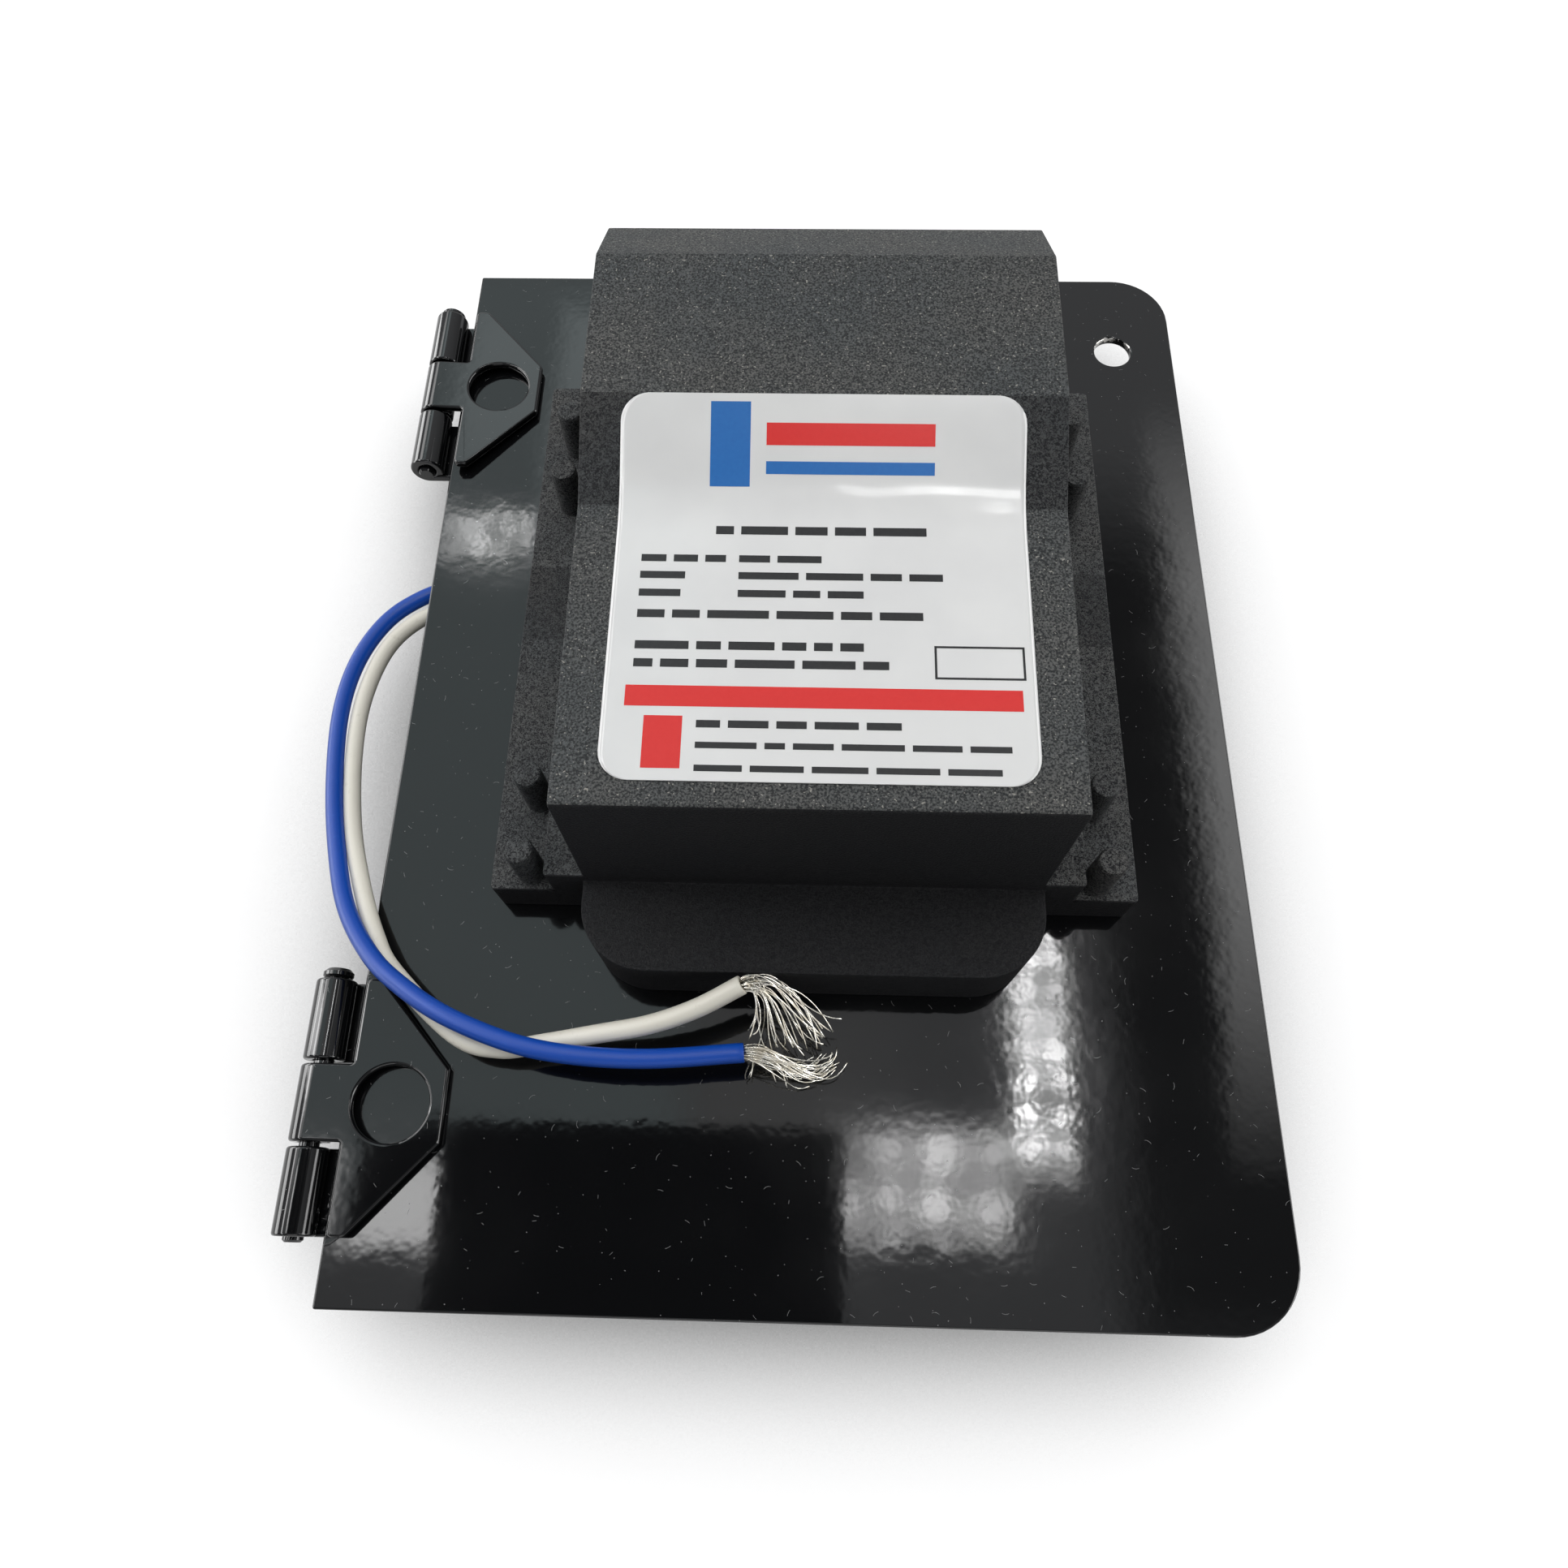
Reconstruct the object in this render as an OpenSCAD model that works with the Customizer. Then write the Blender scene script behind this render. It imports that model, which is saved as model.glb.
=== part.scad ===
// Ignition transformer for an oil burner: a potted electronic igniter in a
// moulded plastic case, screwed to a hinged steel plate. Millimetres, +Z up.
// It stands on its two insulator bushings, and X = Y = 0 is the middle of its
// outline from above, without the two leads.

/* [Base plate] */
// Width of the plate, across the hinge side
plate_w = 127; // [118:1:150]
// Length of the plate, along the hinge side
plate_l = 177; // [172:1:220]
// Thickness of the steel sheet
plate_t = 1.5; // [1.2:0.1:2]
// Radius of the two corners away from the hinges
plate_corner_r = 9.5; // [3:0.5:14]
// Diameter of the latch screw hole
latch_hole_d = 6.4; // [4:0.1:8]
// Latch hole centre from the plate's free edge
latch_from_side = 10.5; // [8:0.5:14]
// Latch hole centre from the plate's back edge
latch_from_back = 17; // [10:0.5:24]

/* [Case] */
// Width of the flange that sits on the plate
flange_w = 90.4; // [88:0.2:96]
// Height of the flange
flange_h = 7.2; // [6:0.2:9]
// How far the flange reaches behind the block
flange_back = 1.4; // [0:0.2:4]
// Width of the ledge on the flange
ledge_w = 73; // [70:0.5:74]
// Height of the ledge's top above the plate
ledge_h = 13.8; // [13:0.2:15]
// Width of the tall block at its top
block_w = 61; // [60:0.5:64]
// How much wider the block is at its foot, for mould draft
block_draft = 1.4; // [0.4:0.2:3]
// Case front face, ahead of the plate's middle
case_front = 34; // [30:0.5:36]
// Length of the low front part of the block's top
low_top_l = 40.2; // [38:0.2:44]
// Length of the sloped part of the block's top
slope_l = 13.3; // [10:0.1:16]
// Length of the high back part of the block's top
high_top_l = 23.2; // [20:0.2:30]
// Length of the bevel at the back of the block's top
back_bevel_l = 11.4; // [6:0.2:12]
// Height of the block's top at its front edge
low_top_h = 39.8; // [39:0.2:42]
// Height of the block's top at the back of the low part
low_top_back_h = 40.6; // [40:0.2:43]
// Height of the high part of the block's top
high_top_h = 46.2; // [45:0.2:52]
// Height of the block's back face
back_face_h = 40.5; // [40:0.2:44]
// Radius of the moulded edges
edge_r = 0.7; // [0.3:0.1:1]
// Wall thickness of the case
wall_t = 2.5; // [1.8:0.1:3]

/* [Terminal pod] */
// Width of the low pod in front of the block
pod_w = 62.4; // [56:0.4:64]
// How far the pod stands out of the case front
pod_l = 12.2; // [10:0.2:16]
// Height of the pod
pod_h = 12.1; // [10:0.1:12.6]
// Radius of the pod's two front corners
pod_r = 9; // [6:0.5:11]

/* [Pegs and case screws] */
// Diameter of the moulded pegs on the flange
peg_d = 4; // [3.4:0.1:4.6]
// Height of the pegs' tops above the plate
peg_top = 16.6; // [15:0.2:19]
// Distance between the two rows of pegs
peg_rows = 79; // [78:0.5:80]
// Peg places along the case, from its front face
peg_at = [2.8, 13.8, 65.1, 76.5];
// Thread diameter of the case screws
screw_d = 3.5; // [3:0.1:4]
// Head diameter of the case screws
screw_head_d = 6.8; // [6:0.1:7.5]
// Head height of the case screws
screw_head_h = 2.3; // [1.8:0.1:3]
// How deep the case screws bite into the flange
screw_bite = 6; // [4:0.2:6.6]

/* [Label] */
// Width of the label
label_w = 50.6; // [40:0.2:54]
// Length of the label, seen from above
label_l = 50; // [40:0.2:50.6]
// Thickness of the label
label_t = 0.2; // [0.1:0.05:0.3]
// Radius of the label's corners
label_r = 3.6; // [1:0.2:6]
// Label front edge from the case front
label_from_front = 3.2; // [2:0.2:6]

/* [Hinges] */
// Thickness of the hinge leaves
leaf_t = 1.4; // [1:0.1:1.6]
// Diameter of the hinge pins
pin_d = 2.7; // [2.4:0.1:3.2]
// Length of a hinge along its pin
hinge_l = 34; // [30:0.5:40]
// Length of the middle knuckle
mid_knuckle_l = 10.3; // [8:0.1:12]
// Pin axis outside the plate's edge
pin_out = 4; // [3.8:0.1:5]
// Reach of a leaf from the pin axis
leaf_reach = 18; // [16:0.5:22]
// Where the leaf's body starts, from the pin axis
leaf_root = 5; // [4.6:0.1:6]
// Width of a leaf's narrow ends
leaf_end_w = 2.2; // [1.5:0.1:4]
// Length of a leaf's straight free edge
leaf_tip_l = 10; // [8:0.5:14]
// Diameter of the bolt hole in a leaf
leaf_hole_d = 10.3; // [8:0.1:10.8]
// Bolt hole centre from the pin axis
leaf_hole_at = 10.8; // [10:0.1:11.4]
// Middle of the front hinge from the plate's front edge
front_hinge_from_end = 25.6; // [24:0.1:28]
// Middle of the rear hinge from the plate's back edge
rear_hinge_from_end = 28; // [24:0.1:30]
// Gap between the case's flange and the tip of a folded leaf
leaf_tip_gap = 4.3; // [2:0.1:6]
// Width of the open seam of a rolled knuckle
seam_w = 0.25; // [0.1:0.05:0.5]
// Diameter of the pin heads
pin_head_d = 4.2; // [3.8:0.1:5]
// Thickness of the pin heads
pin_head_t = 1.4; // [1:0.1:2]

/* [High voltage bushings] */
// Drop of the bushings below the plate
bushing_drop = 20; // [16:0.5:24]
// Diameter of the bushings' skirts and bases
bushing_d = 24; // [20:0.5:26]
// Diameter of the bushings between the ribs
bushing_neck_d = 17; // [14:0.5:18]
// Distance between the two bushings
bushing_span = 38; // [34:0.5:40]
// Bushings behind the plate's middle
bushing_y = 6; // [4:0.5:9]
// Diameter of the recess in a bushing's end
recess_d = 14; // [12:0.5:15]
// Depth of that recess
recess_depth = 5; // [4:0.5:7]
// Height of the thick rim round the recess
rim_h = 5; // [4:0.5:7]
// Thickness of the bushings' creepage rib
rib_t = 1.6; // [1:0.1:2.4]
// Diameter of the brass contact buttons
button_d = 8; // [6:0.5:9]
// Thickness of the buttons' straight part
button_t = 2.6; // [1.5:0.1:3]
// Diameter of the brass contact studs
stud_d = 4; // [3:0.5:5]

/* [Inner parts] */
// Height of the circuit board above the plate
board_z = 12; // [11:0.5:13]
// Thickness of the circuit board
board_t = 1.6; // [1:0.1:2]
// Width of the circuit board
board_w = 52; // [48:1:54]
// Length of the circuit board
board_l = 30; // [28:0.5:31]
// Diameter of the filter capacitor
filter_d = 16; // [12:0.5:17]
// Height of the filter capacitor
filter_h = 20; // [16:0.5:21]
// Size of the resonant capacitor
resonant_size = [15, 7, 12];
// Size of the bridge rectifier
rectifier_size = [14, 5, 10];
// Diameter of the line choke
choke_d = 15; // [12:0.5:16]
// Height of the line choke
choke_h = 9; // [8:0.5:12]
// Size of the heat sink
sink_size = [2.5, 26, 19];
// Size of the power transistor
transistor_size = [4.6, 10, 15];
// Section of the ferrite core, along Y
core_leg = 9; // [7:0.5:10]
// Thickness of the ferrite core, along Z
core_t = 11; // [9:0.5:12]
// Width of the ferrite core, along X
core_w = 52; // [46:1:54]
// Diameter of the secondary coils
secondary_d = 24; // [20:0.5:25]
// Diameter of the primary coil
primary_d = 19; // [16:0.5:20]
// Core's middle above the plate
core_height = 22; // [20:0.5:23]
// Primary coil behind the plate's middle
primary_y = 12; // [11:0.5:13]
// Secondary coils behind the plate's middle
secondary_y = 38; // [36:0.5:39]
// Wall thickness of the bobbins' tubes
bobbin_t = 1.2; // [0.8:0.1:1.4]
// Thickness of the bobbins' walls
flange_t = 1.4; // [1:0.1:2]

/* [Leads] */
// Diameter over the leads' insulation
lead_d = 2.6; // [2.2:0.1:2.8]
// Diameter of the lead grommet's collar
grommet_d = 12; // [11:0.5:14]
// How far the collar stands below the plate
grommet_drop = 2.5; // [2:0.1:4]
// Grommet left of the case's middle
grommet_left = 24; // [22:0.5:26]
// Grommet behind the plate's middle
grommet_back = 34; // [32:0.5:36]

/* [Hidden] */
$fn = 64;

// Small overlap that makes cuts clean
eps = 0.01;
// Running clearance of a pin in the knuckle that turns on it, on the radius
run_gap = 0.06;
// Clearance of a pin in the knuckles that hold it, on the radius
hold_gap = 0.02;
// Gap between neighbouring knuckles, along the pin
knuckle_gap = 0.6;
// Gap under the tip of a folded leaf
rest_gap = 0.25;
// Clearance of screws and bushings in the plate, on the radius
hole_gap = 0.3;
// Fit of screws, studs and leads in what holds them, on the radius
fit_gap = 0.05;
// Radius of small rounded corners on sheet metal
sheet_r = 0.8;

// Levels
plate_bottom = bushing_drop;
plate_top = plate_bottom + plate_t;
cavity_top = ledge_h - wall_t;

// Hinge section: the fixed leaf lies under the plate, rolled up round the pin
knuckle_hole_r = pin_d / 2 + run_gap;
knuckle_r = knuckle_hole_r + leaf_t;
pin_z = plate_bottom - leaf_t + knuckle_r;

// The folded free leaf tips until the far edge of its underside nears the plate
tip_low = rest_gap + plate_top - pin_z;
tip_far = norm([leaf_reach, knuckle_hole_r]);
fold_tilt = atan2(knuckle_hole_r, leaf_reach) - asin(tip_low / tip_far);

// Half lengths of a hinge and its middle knuckle, and where the outer ones start
leaf_half = hinge_l / 2;
mid_half = mid_knuckle_l / 2;
outer_from = mid_half + knuckle_gap;

// X = 0 is midway between the knuckles and the plate's free edge
plate_x = (pin_out + knuckle_r) / 2;
pin_x = plate_x - plate_w / 2 - pin_out;
front_hinge_y = front_hinge_from_end - plate_l / 2;
rear_hinge_y = plate_l / 2 - rear_hinge_from_end;

// The case stands clear of the folded leaves
case_x = pin_x + leaf_reach + leaf_tip_gap + flange_w / 2;

// Case outline along Y
front_y = -case_front;
low_end_y = front_y + low_top_l;
slope_end_y = low_end_y + slope_l;
high_end_y = slope_end_y + high_top_l;
back_y = high_end_y + back_bevel_l;
flange_end_y = back_y + flange_back;

// Label
label_front_y = front_y + label_from_front;
label_y = label_front_y + label_l / 2;

// The case screws bite under the second and third peg of each row
screw_y = [for (i = [1, 2]) front_y + peg_at[i]];

// How far the bushings and their studs are set into the potting
bushing_set = 8;
stud_set = bushing_set + 3;

// Lead exit through the plate
grommet_x = case_x - grommet_left;
lead_pitch = 3.8;
grommet_neck_d = grommet_d - 2.4;
grommet_top = 3;

// Ground screw, in line with the middle of the case
ground_y = -24;
insert_d = 7;
insert_h = 8;

// Wound parts: the primary sits on the front leg and the secondary behind it
core_z = plate_top + core_height;
core_joint = 0.2;
coil_room = core_w - 2 * core_leg;
wall_x = coil_room / 2 - flange_t / 2;

// Stations for the parts on the board, from the middle of its front edge
board_front = front_y + wall_t + 2;
board_top = plate_top + board_z + board_t;
filter_at = [1 + filter_d / 2 - board_w / 2, 19];
resonant_at = [filter_at[0] + filter_d / 2 + 2, board_l - 1 - resonant_size[1]];
rectifier_at = [2 - board_w / 2, 3];
choke_at = [1, 10];
sink_at = [board_w / 2 - 5, 2];
transistor_at = [sink_at[0] - transistor_size[0], 8];

// Routes of the two leads: X from the plate's middle, Y, Z from the plate's top
blue_route = [
    [-24, 35.9, 2.5], [-24, 35.9, -4], [-24.5, 35.7, -7.2], [-27, 34.9, -10],
    [-31.5, 33.5, -11.2], [-38, 31.4, -10.8], [-46, 28.8, -9.2], [-54, 26.2, -7.4],
    [-61, 24, -5.9], [-66.6, 21, -5], [-71.6, 15.8, -4.2], [-74.8, 7.5, -3.2],
    [-75.4, -2.9, -2], [-73.4, -16.3, -0.5], [-70, -28.2, 1.5], [-66.4, -36.5, 3.6],
    [-61.3, -43.3, 5.7], [-56.2, -47.6, 7], [-49, -51.9, 8], [-39.5, -55.4, 8.4],
    [-31, -56.8, 8.4], [-21, -57, 8.2], [-8.7, -55.9, 8]
];
white_route = [
    [-24, 32.1, 2.5], [-24, 32.1, -4], [-24.5, 31.9, -7.2], [-27, 31, -9.9],
    [-31.5, 29.5, -11], [-38, 27.3, -10.4], [-46, 24.5, -8.8], [-54, 21.8, -7],
    [-61, 19.3, -5.6], [-66.4, 16.6, -4.9], [-70.7, 10.6, -4.2], [-72.6, 0.9, -3.2],
    [-72, -9.9, -2], [-69.5, -22, -0.4], [-65.8, -32.1, 1.4], [-62, -40, 2.8],
    [-58.2, -45.3, 3.8], [-48.2, -53.9, 4.8], [-41.8, -55.7, 5], [-35.8, -54.9, 5.5],
    [-28.4, -53.7, 6.8], [-21.4, -52.6, 8.5], [-15, -50.7, 10.6], [-9, -47.9, 12.8]
];
// Bare strands: the bundle's middle line, and its radius at each point
blue_bundle = [[-8.7, -55.9, 8], [-6, -55.8, 7.2], [-3, -56.2, 5.6], [0, -56.4, 4], [2.4, -55.6, 3]];
white_bundle = [[-9, -47.9, 12.8], [-6.6, -48, 12.2], [-4, -49.2, 10.4], [-1.6, -51, 7.6], [0.6, -52.6, 5.4]];
bundle_r = [0.55, 0.8, 1.3, 1.7, 1.4];

// Points of a closed outline with its corners rounded
function arc_corner(a, b, c, r, n = 4) =
    let (u = (a - b) / norm(a - b), v = (c - b) / norm(c - b))
    let (half = acos(u * v) / 2, back = r / tan(half))
    let (mid = (u + v) / norm(u + v), hub = b + mid * r / sin(half))
    let (p = b + u * back, q = b + v * back)
    let (a0 = atan2(p[1] - hub[1], p[0] - hub[0]), a1 = atan2(q[1] - hub[1], q[0] - hub[0]))
    let (turn = (a1 - a0 + 540) % 360 - 180)
    [for (i = [0 : n]) hub + r * [cos(a0 + turn * i / n), sin(a0 + turn * i / n)]];

function round_all(pts, r, n = 4) =
    let (count = len(pts))
    [for (i = [0 : count - 1])
        for (p = arc_corner(pts[(i + count - 1) % count], pts[i], pts[(i + 1) % count], r, n)) p];

// Frames carried along a route, and the rings of a swept tube
function along(route, i) =
    let (last = len(route) - 1)
    let (d = route[min(i + 1, last)] - route[max(i - 1, 0)])
    d / norm(d);

function carried(route, i, side) =
    let (d = along(route, i), s = side - (side * d) * d, unit = s / norm(s))
    i == len(route) - 1 ? [unit] : concat([unit], carried(route, i + 1, unit));

module tube(route, radii, sides = 8) {
    across = carried(route, 0, [1, 0, 0.001]);
    count = len(route);
    rings = [for (i = [0 : count - 1])
        let (a = across[i], b = cross(along(route, i), a))
        for (k = [0 : sides - 1])
            route[i] + radii[i] * (cos(360 * k / sides) * a + sin(360 * k / sides) * b)];
    skin = [for (i = [0 : count - 2]) for (k = [0 : sides - 1])
        let (next = (k + 1) % sides)
        [i * sides + k, i * sides + next, (i + 1) * sides + next, (i + 1) * sides + k]];
    start = [for (k = [sides - 1 : -1 : 0]) k];
    finish = [for (k = [0 : sides - 1]) (count - 1) * sides + k];
    outward = [for (f = concat([start], skin, [finish])) [for (j = [len(f) - 1 : -1 : 0]) f[j]]];
    polyhedron(points = rings, faces = outward);
}

// Places something at the plate's middle, with Z = 0 at the plate's top
module on_plate() {
    translate([plate_x, 0, plate_top]) children();
}

// The same for what lines up with the case
module at_case() {
    translate([case_x, 0, plate_top]) children();
}

module mirror_copy() {
    children();
    mirror([1, 0, 0]) children();
}

// A prism along X from an outline drawn in Y and Z
module along_x(width) {
    rotate([90, 0, 90]) translate([0, 0, -width / 2]) linear_extrude(width) children();
}

// Base plate

module plate_outline() {
    reach = plate_w / 2 - plate_corner_r;
    end = plate_l / 2 - plate_corner_r;
    difference() {
        union() {
            translate([-plate_w / 2, -plate_l / 2]) square([plate_w - plate_corner_r, plate_l]);
            translate([0, -end]) square([plate_w / 2, 2 * end]);
            for (s = [-1, 1]) translate([reach, s * end]) circle(plate_corner_r);
        }
        translate([plate_w / 2 - latch_from_side, plate_l / 2 - latch_from_back]) circle(d = latch_hole_d);
        translate([case_x - plate_x, 0]) case_holes();
    }
}

// Holes under the case, with X = 0 at its middle
module case_holes() {
    for (s = [-1, 1]) translate([s * bushing_span / 2, bushing_y]) circle(d = bushing_d + 2 * hole_gap);
    for (s = [-1, 1], y = screw_y) translate([s * peg_rows / 2, y]) circle(r = screw_d / 2 + hole_gap);
    translate([-grommet_left, grommet_back]) circle(r = grommet_neck_d / 2 + fit_gap);
    translate([0, ground_y]) circle(r = screw_d / 2 + hole_gap);
}

module base_plate() {
    color("#101113")
    translate([plate_x, 0, plate_bottom]) linear_extrude(plate_t) plate_outline();
}

// Moulded case

module block_profile(inset = 0) {
    outline = [
        [front_y + inset, 0], [front_y + inset, low_top_h - inset],
        [low_end_y, low_top_back_h - inset], [slope_end_y, high_top_h - inset],
        [high_end_y - inset / 2, high_top_h - inset], [back_y - inset, back_face_h - inset / 2],
        [back_y - inset, 0]
    ];
    polygon(round_all(outline, edge_r));
}

module block_section(inset = 0) {
    top = high_top_h + 2;
    half = block_w / 2 - inset;
    foot_half = half + block_draft / 2;
    polygon([[-foot_half, 0], [-half, top], [half, top], [foot_half, 0]]);
}

// The tall block: its side profile met by its tapered section
module block_body(inset = 0) {
    intersection() {
        along_x(block_w + 2 * block_draft) block_profile(inset);
        rotate([90, 0, 0]) translate([0, 0, -back_y - 10]) linear_extrude(back_y - front_y + 20) block_section(inset);
    }
}

// A rounded slab between two Y values, with Z = 0 at the plate's top
module slab(width, y0, y1, height, r) {
    outline = [[-width / 2, y0], [width / 2, y0], [width / 2, y1], [-width / 2, y1]];
    linear_extrude(height) polygon(round_all(outline, r));
}

// Plan of the pod in front of the block, with round front corners
module pod_plan(inset) {
    half = pod_w / 2 - inset;
    nose = front_y - pod_l + inset;
    r = pod_r - inset;
    root = front_y + wall_t + 1;
    translate([-half, nose + r]) square([2 * half, root - nose - r]);
    translate([-half + r, nose]) square([2 * (half - r), r + eps]);
    for (s = [-1, 1]) translate([s * (half - r), nose + r]) circle(r);
}

// The hollow that the potting fills
module cavity() {
    block_body(wall_t);
    slab(ledge_w - 2 * wall_t, front_y + wall_t, back_y - wall_t, cavity_top, edge_r);
    linear_extrude(pod_h - wall_t) pod_plan(wall_t);
}

module case() {
    color("#2b2b2d")
    at_case() difference() {
        union() {
            slab(flange_w, front_y, flange_end_y, flange_h, edge_r);
            slab(ledge_w, front_y, back_y, ledge_h, edge_r);
            block_body();
            linear_extrude(pod_h) pod_plan(0);
            mirror_copy() for (y = peg_at)
                translate([peg_rows / 2, front_y + y, flange_h - 1]) peg();
        }
        cavity_cut();
        mirror_copy() for (y = screw_y)
            translate([peg_rows / 2, y, -1]) cylinder(r = screw_d / 2 + fit_gap, h = 1 + screw_bite + 0.4);
    }
}

// The hollow, opened downwards
module cavity_cut() {
    cavity();
    translate([0, 0, -1]) slab(ledge_w - 2 * wall_t, front_y + wall_t, back_y - wall_t, 2, edge_r);
    translate([0, 0, -1]) linear_extrude(2) pod_plan(wall_t);
}

// A slightly tapered peg with a rounded rim
module peg() {
    h = peg_top - flange_h + 1;
    rotate_extrude() polygon([
        [0, 0], [peg_d / 2 + 0.1, 0], [peg_d / 2, h - 0.3], [peg_d / 2 - 0.3, h], [0, h]
    ]);
}

module case_screws() {
    color("silver")
    translate([case_x, 0, plate_bottom]) mirror_copy() for (y = screw_y)
        translate([peg_rows / 2, y, 0]) pan_screw(plate_t + screw_bite);
}

// A pan-head screw that points up, with its head below Z = 0
module pan_screw(length) {
    head = screw_head_d / 2;
    shank = screw_d / 2;
    tip = 0.8;
    drive = [0.6 * screw_head_d, 0.9, 2.2];
    difference() {
        rotate_extrude() polygon([
            [0, -screw_head_h], [head - 1.2, -screw_head_h], [head - 0.3, 0.8 - screw_head_h],
            [head, -0.6], [head, 0], [shank, 0], [shank, length - tip], [shank - tip, length], [0, length]
        ]);
        for (a = [0, 90]) rotate([0, 0, a]) translate([0, 0, -screw_head_h]) cube(drive, center = true);
    }
}

// Label

module label() {
    color("#e6e6e2")
    at_case() intersection() {
        difference() {
            translate([0, 0, label_t]) along_x(label_w) block_profile();
            along_x(label_w + 1) block_profile();
        }
        translate([0, label_y, low_top_h - 2]) label_plan(10);
    }
}

module label_plan(height) {
    w = label_w - 2 * label_r;
    l = label_l - 2 * label_r;
    linear_extrude(height) union() {
        square([label_w, l], center = true);
        square([w, label_l], center = true);
        for (sx = [-1, 1], sy = [-1, 1]) translate([sx * w / 2, sy * l / 2]) circle(label_r);
    }
}

// Potting compound, cast round everything inside the case

module potting() {
    color("#1d1c1b")
    difference() {
        at_case() cavity();
        bushing_blank(-1);
        bushing_blank(1);
        stud_blank(-1);
        stud_blank(1);
        grommet_blank();
        insert_blank();
        board_blank();
        board_parts();
        core_blank();
        winding_blank(primary_y, primary_d);
        winding_blank(secondary_y, secondary_d);
    }
}

// High voltage bushings

module bushing_at(side) {
    translate([case_x + side * bushing_span / 2, bushing_y, 0]) children();
}

module bushing_blank(side) {
    bushing_at(side) translate([0, 0, plate_top - 1]) cylinder(d = bushing_d, h = bushing_set + 1);
}

module stud_blank(side) {
    bushing_at(side) translate([0, 0, plate_top]) cylinder(d = stud_d, h = stud_set);
}

module bushing(side) {
    r = bushing_d / 2;
    neck = bushing_neck_d / 2;
    bore = stud_d / 2 + fit_gap;
    head = plate_top + bushing_set;
    shoulder = plate_bottom - 2;
    rib_z = (shoulder - 2 + rim_h + 2.5) / 2;
    rib_r = r - 1.5;
    edge = 0.6;
    color("#d8d2c4")
    bushing_at(side) rotate_extrude() polygon([
        [bore, head], [r, head], [r, shoulder], [neck, shoulder - 2],
        [neck, rib_z + rib_t / 2 + 1], [rib_r, rib_z + rib_t / 2],
        [rib_r, rib_z - rib_t / 2], [neck, rib_z - rib_t / 2 - 1],
        [neck, rim_h + 2.5], [r - 0.8, rim_h + 0.8], [r, rim_h],
        [r, edge], [r - edge, 0], [recess_d / 2 + edge, 0], [recess_d / 2, edge],
        [recess_d / 2, recess_depth], [bore, recess_depth]
    ]);
}

module left_bushing() {
    bushing(-1);
}

module right_bushing() {
    bushing(1);
}

// A brass stud with a domed button in the bushing's recess
module contact(side) {
    r = button_d / 2;
    dome_h = 1.6;
    dome_z = recess_depth - button_t;
    color("#b08d3c")
    bushing_at(side) rotate_extrude() polygon(concat(
        [[0, plate_top + stud_set], [stud_d / 2, plate_top + stud_set],
         [stud_d / 2, recess_depth], [r, recess_depth], [r, dome_z]],
        [for (a = [15 : 15 : 90]) [r * cos(a), dome_z - dome_h * sin(a)]]
    ));
}

module left_contact() {
    contact(-1);
}

module right_contact() {
    contact(1);
}

// Lead grommet and ground

module grommet_blank() {
    translate([grommet_x, grommet_back, plate_top]) cylinder(d = grommet_neck_d, h = grommet_top);
}

module lead_grommet() {
    color("#17181a")
    translate([grommet_x, grommet_back, 0]) difference() {
        union() {
            translate([0, 0, plate_bottom - eps]) cylinder(d = grommet_neck_d, h = plate_t + grommet_top + eps);
            translate([0, 0, plate_bottom - grommet_drop]) rotate_extrude() polygon([
                [0, 0], [grommet_d / 2 - 0.8, 0], [grommet_d / 2, 0.8], [grommet_d / 2, grommet_drop], [0, grommet_drop]
            ]);
        }
        for (s = [-1, 1]) translate([0, s * lead_pitch / 2, plate_bottom - grommet_drop - 1])
            cylinder(r = lead_d / 2 + fit_gap, h = grommet_drop + 1 + plate_t + grommet_top + 1);
    }
}

module insert_blank() {
    translate([case_x, ground_y, plate_top]) cylinder(d = insert_d, h = insert_h);
}

module ground_insert() {
    color("#b08d3c")
    difference() {
        insert_blank();
        translate([case_x, ground_y, plate_top - 1]) cylinder(r = screw_d / 2 + fit_gap, h = 1 + screw_bite + 0.4);
    }
}

module ground_screw() {
    color("#3f7a4a")
    translate([case_x, ground_y, plate_bottom]) pan_screw(plate_t + screw_bite);
}

// Circuit board and what stands on it

module board_blank() {
    translate([case_x - board_w / 2, board_front, plate_top + board_z]) cube([board_w, board_l, board_t]);
}

module circuit_board() {
    color("#2f6b3c") board_blank();
}

module on_board(place) {
    translate([case_x + place[0], board_front + place[1], board_top]) children();
}

module filter_capacitor_blank() {
    on_board(filter_at) cylinder(d = filter_d, h = filter_h);
}

module filter_capacitor() {
    color("#22314f") filter_capacitor_blank();
}

module resonant_capacitor_blank() {
    on_board(resonant_at) cube(resonant_size);
}

module resonant_capacitor() {
    color("#8e2f25") resonant_capacitor_blank();
}

module rectifier_blank() {
    on_board(rectifier_at) cube(rectifier_size);
}

module rectifier() {
    color("#1b1b1b") rectifier_blank();
}

module line_choke_blank() {
    on_board(choke_at) cylinder(d = choke_d, h = choke_h);
}

module line_choke() {
    color("#8a4b25") line_choke_blank();
}

module heat_sink_blank() {
    on_board(sink_at) cube(sink_size);
}

module heat_sink() {
    color("#a9abad") heat_sink_blank();
}

module power_transistor_blank() {
    on_board(transistor_at) cube(transistor_size);
}

module power_transistor() {
    color("#151515") power_transistor_blank();
}

module board_parts() {
    filter_capacitor_blank();
    resonant_capacitor_blank();
    rectifier_blank();
    line_choke_blank();
    heat_sink_blank();
    power_transistor_blank();
}

// High voltage transformer

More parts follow.
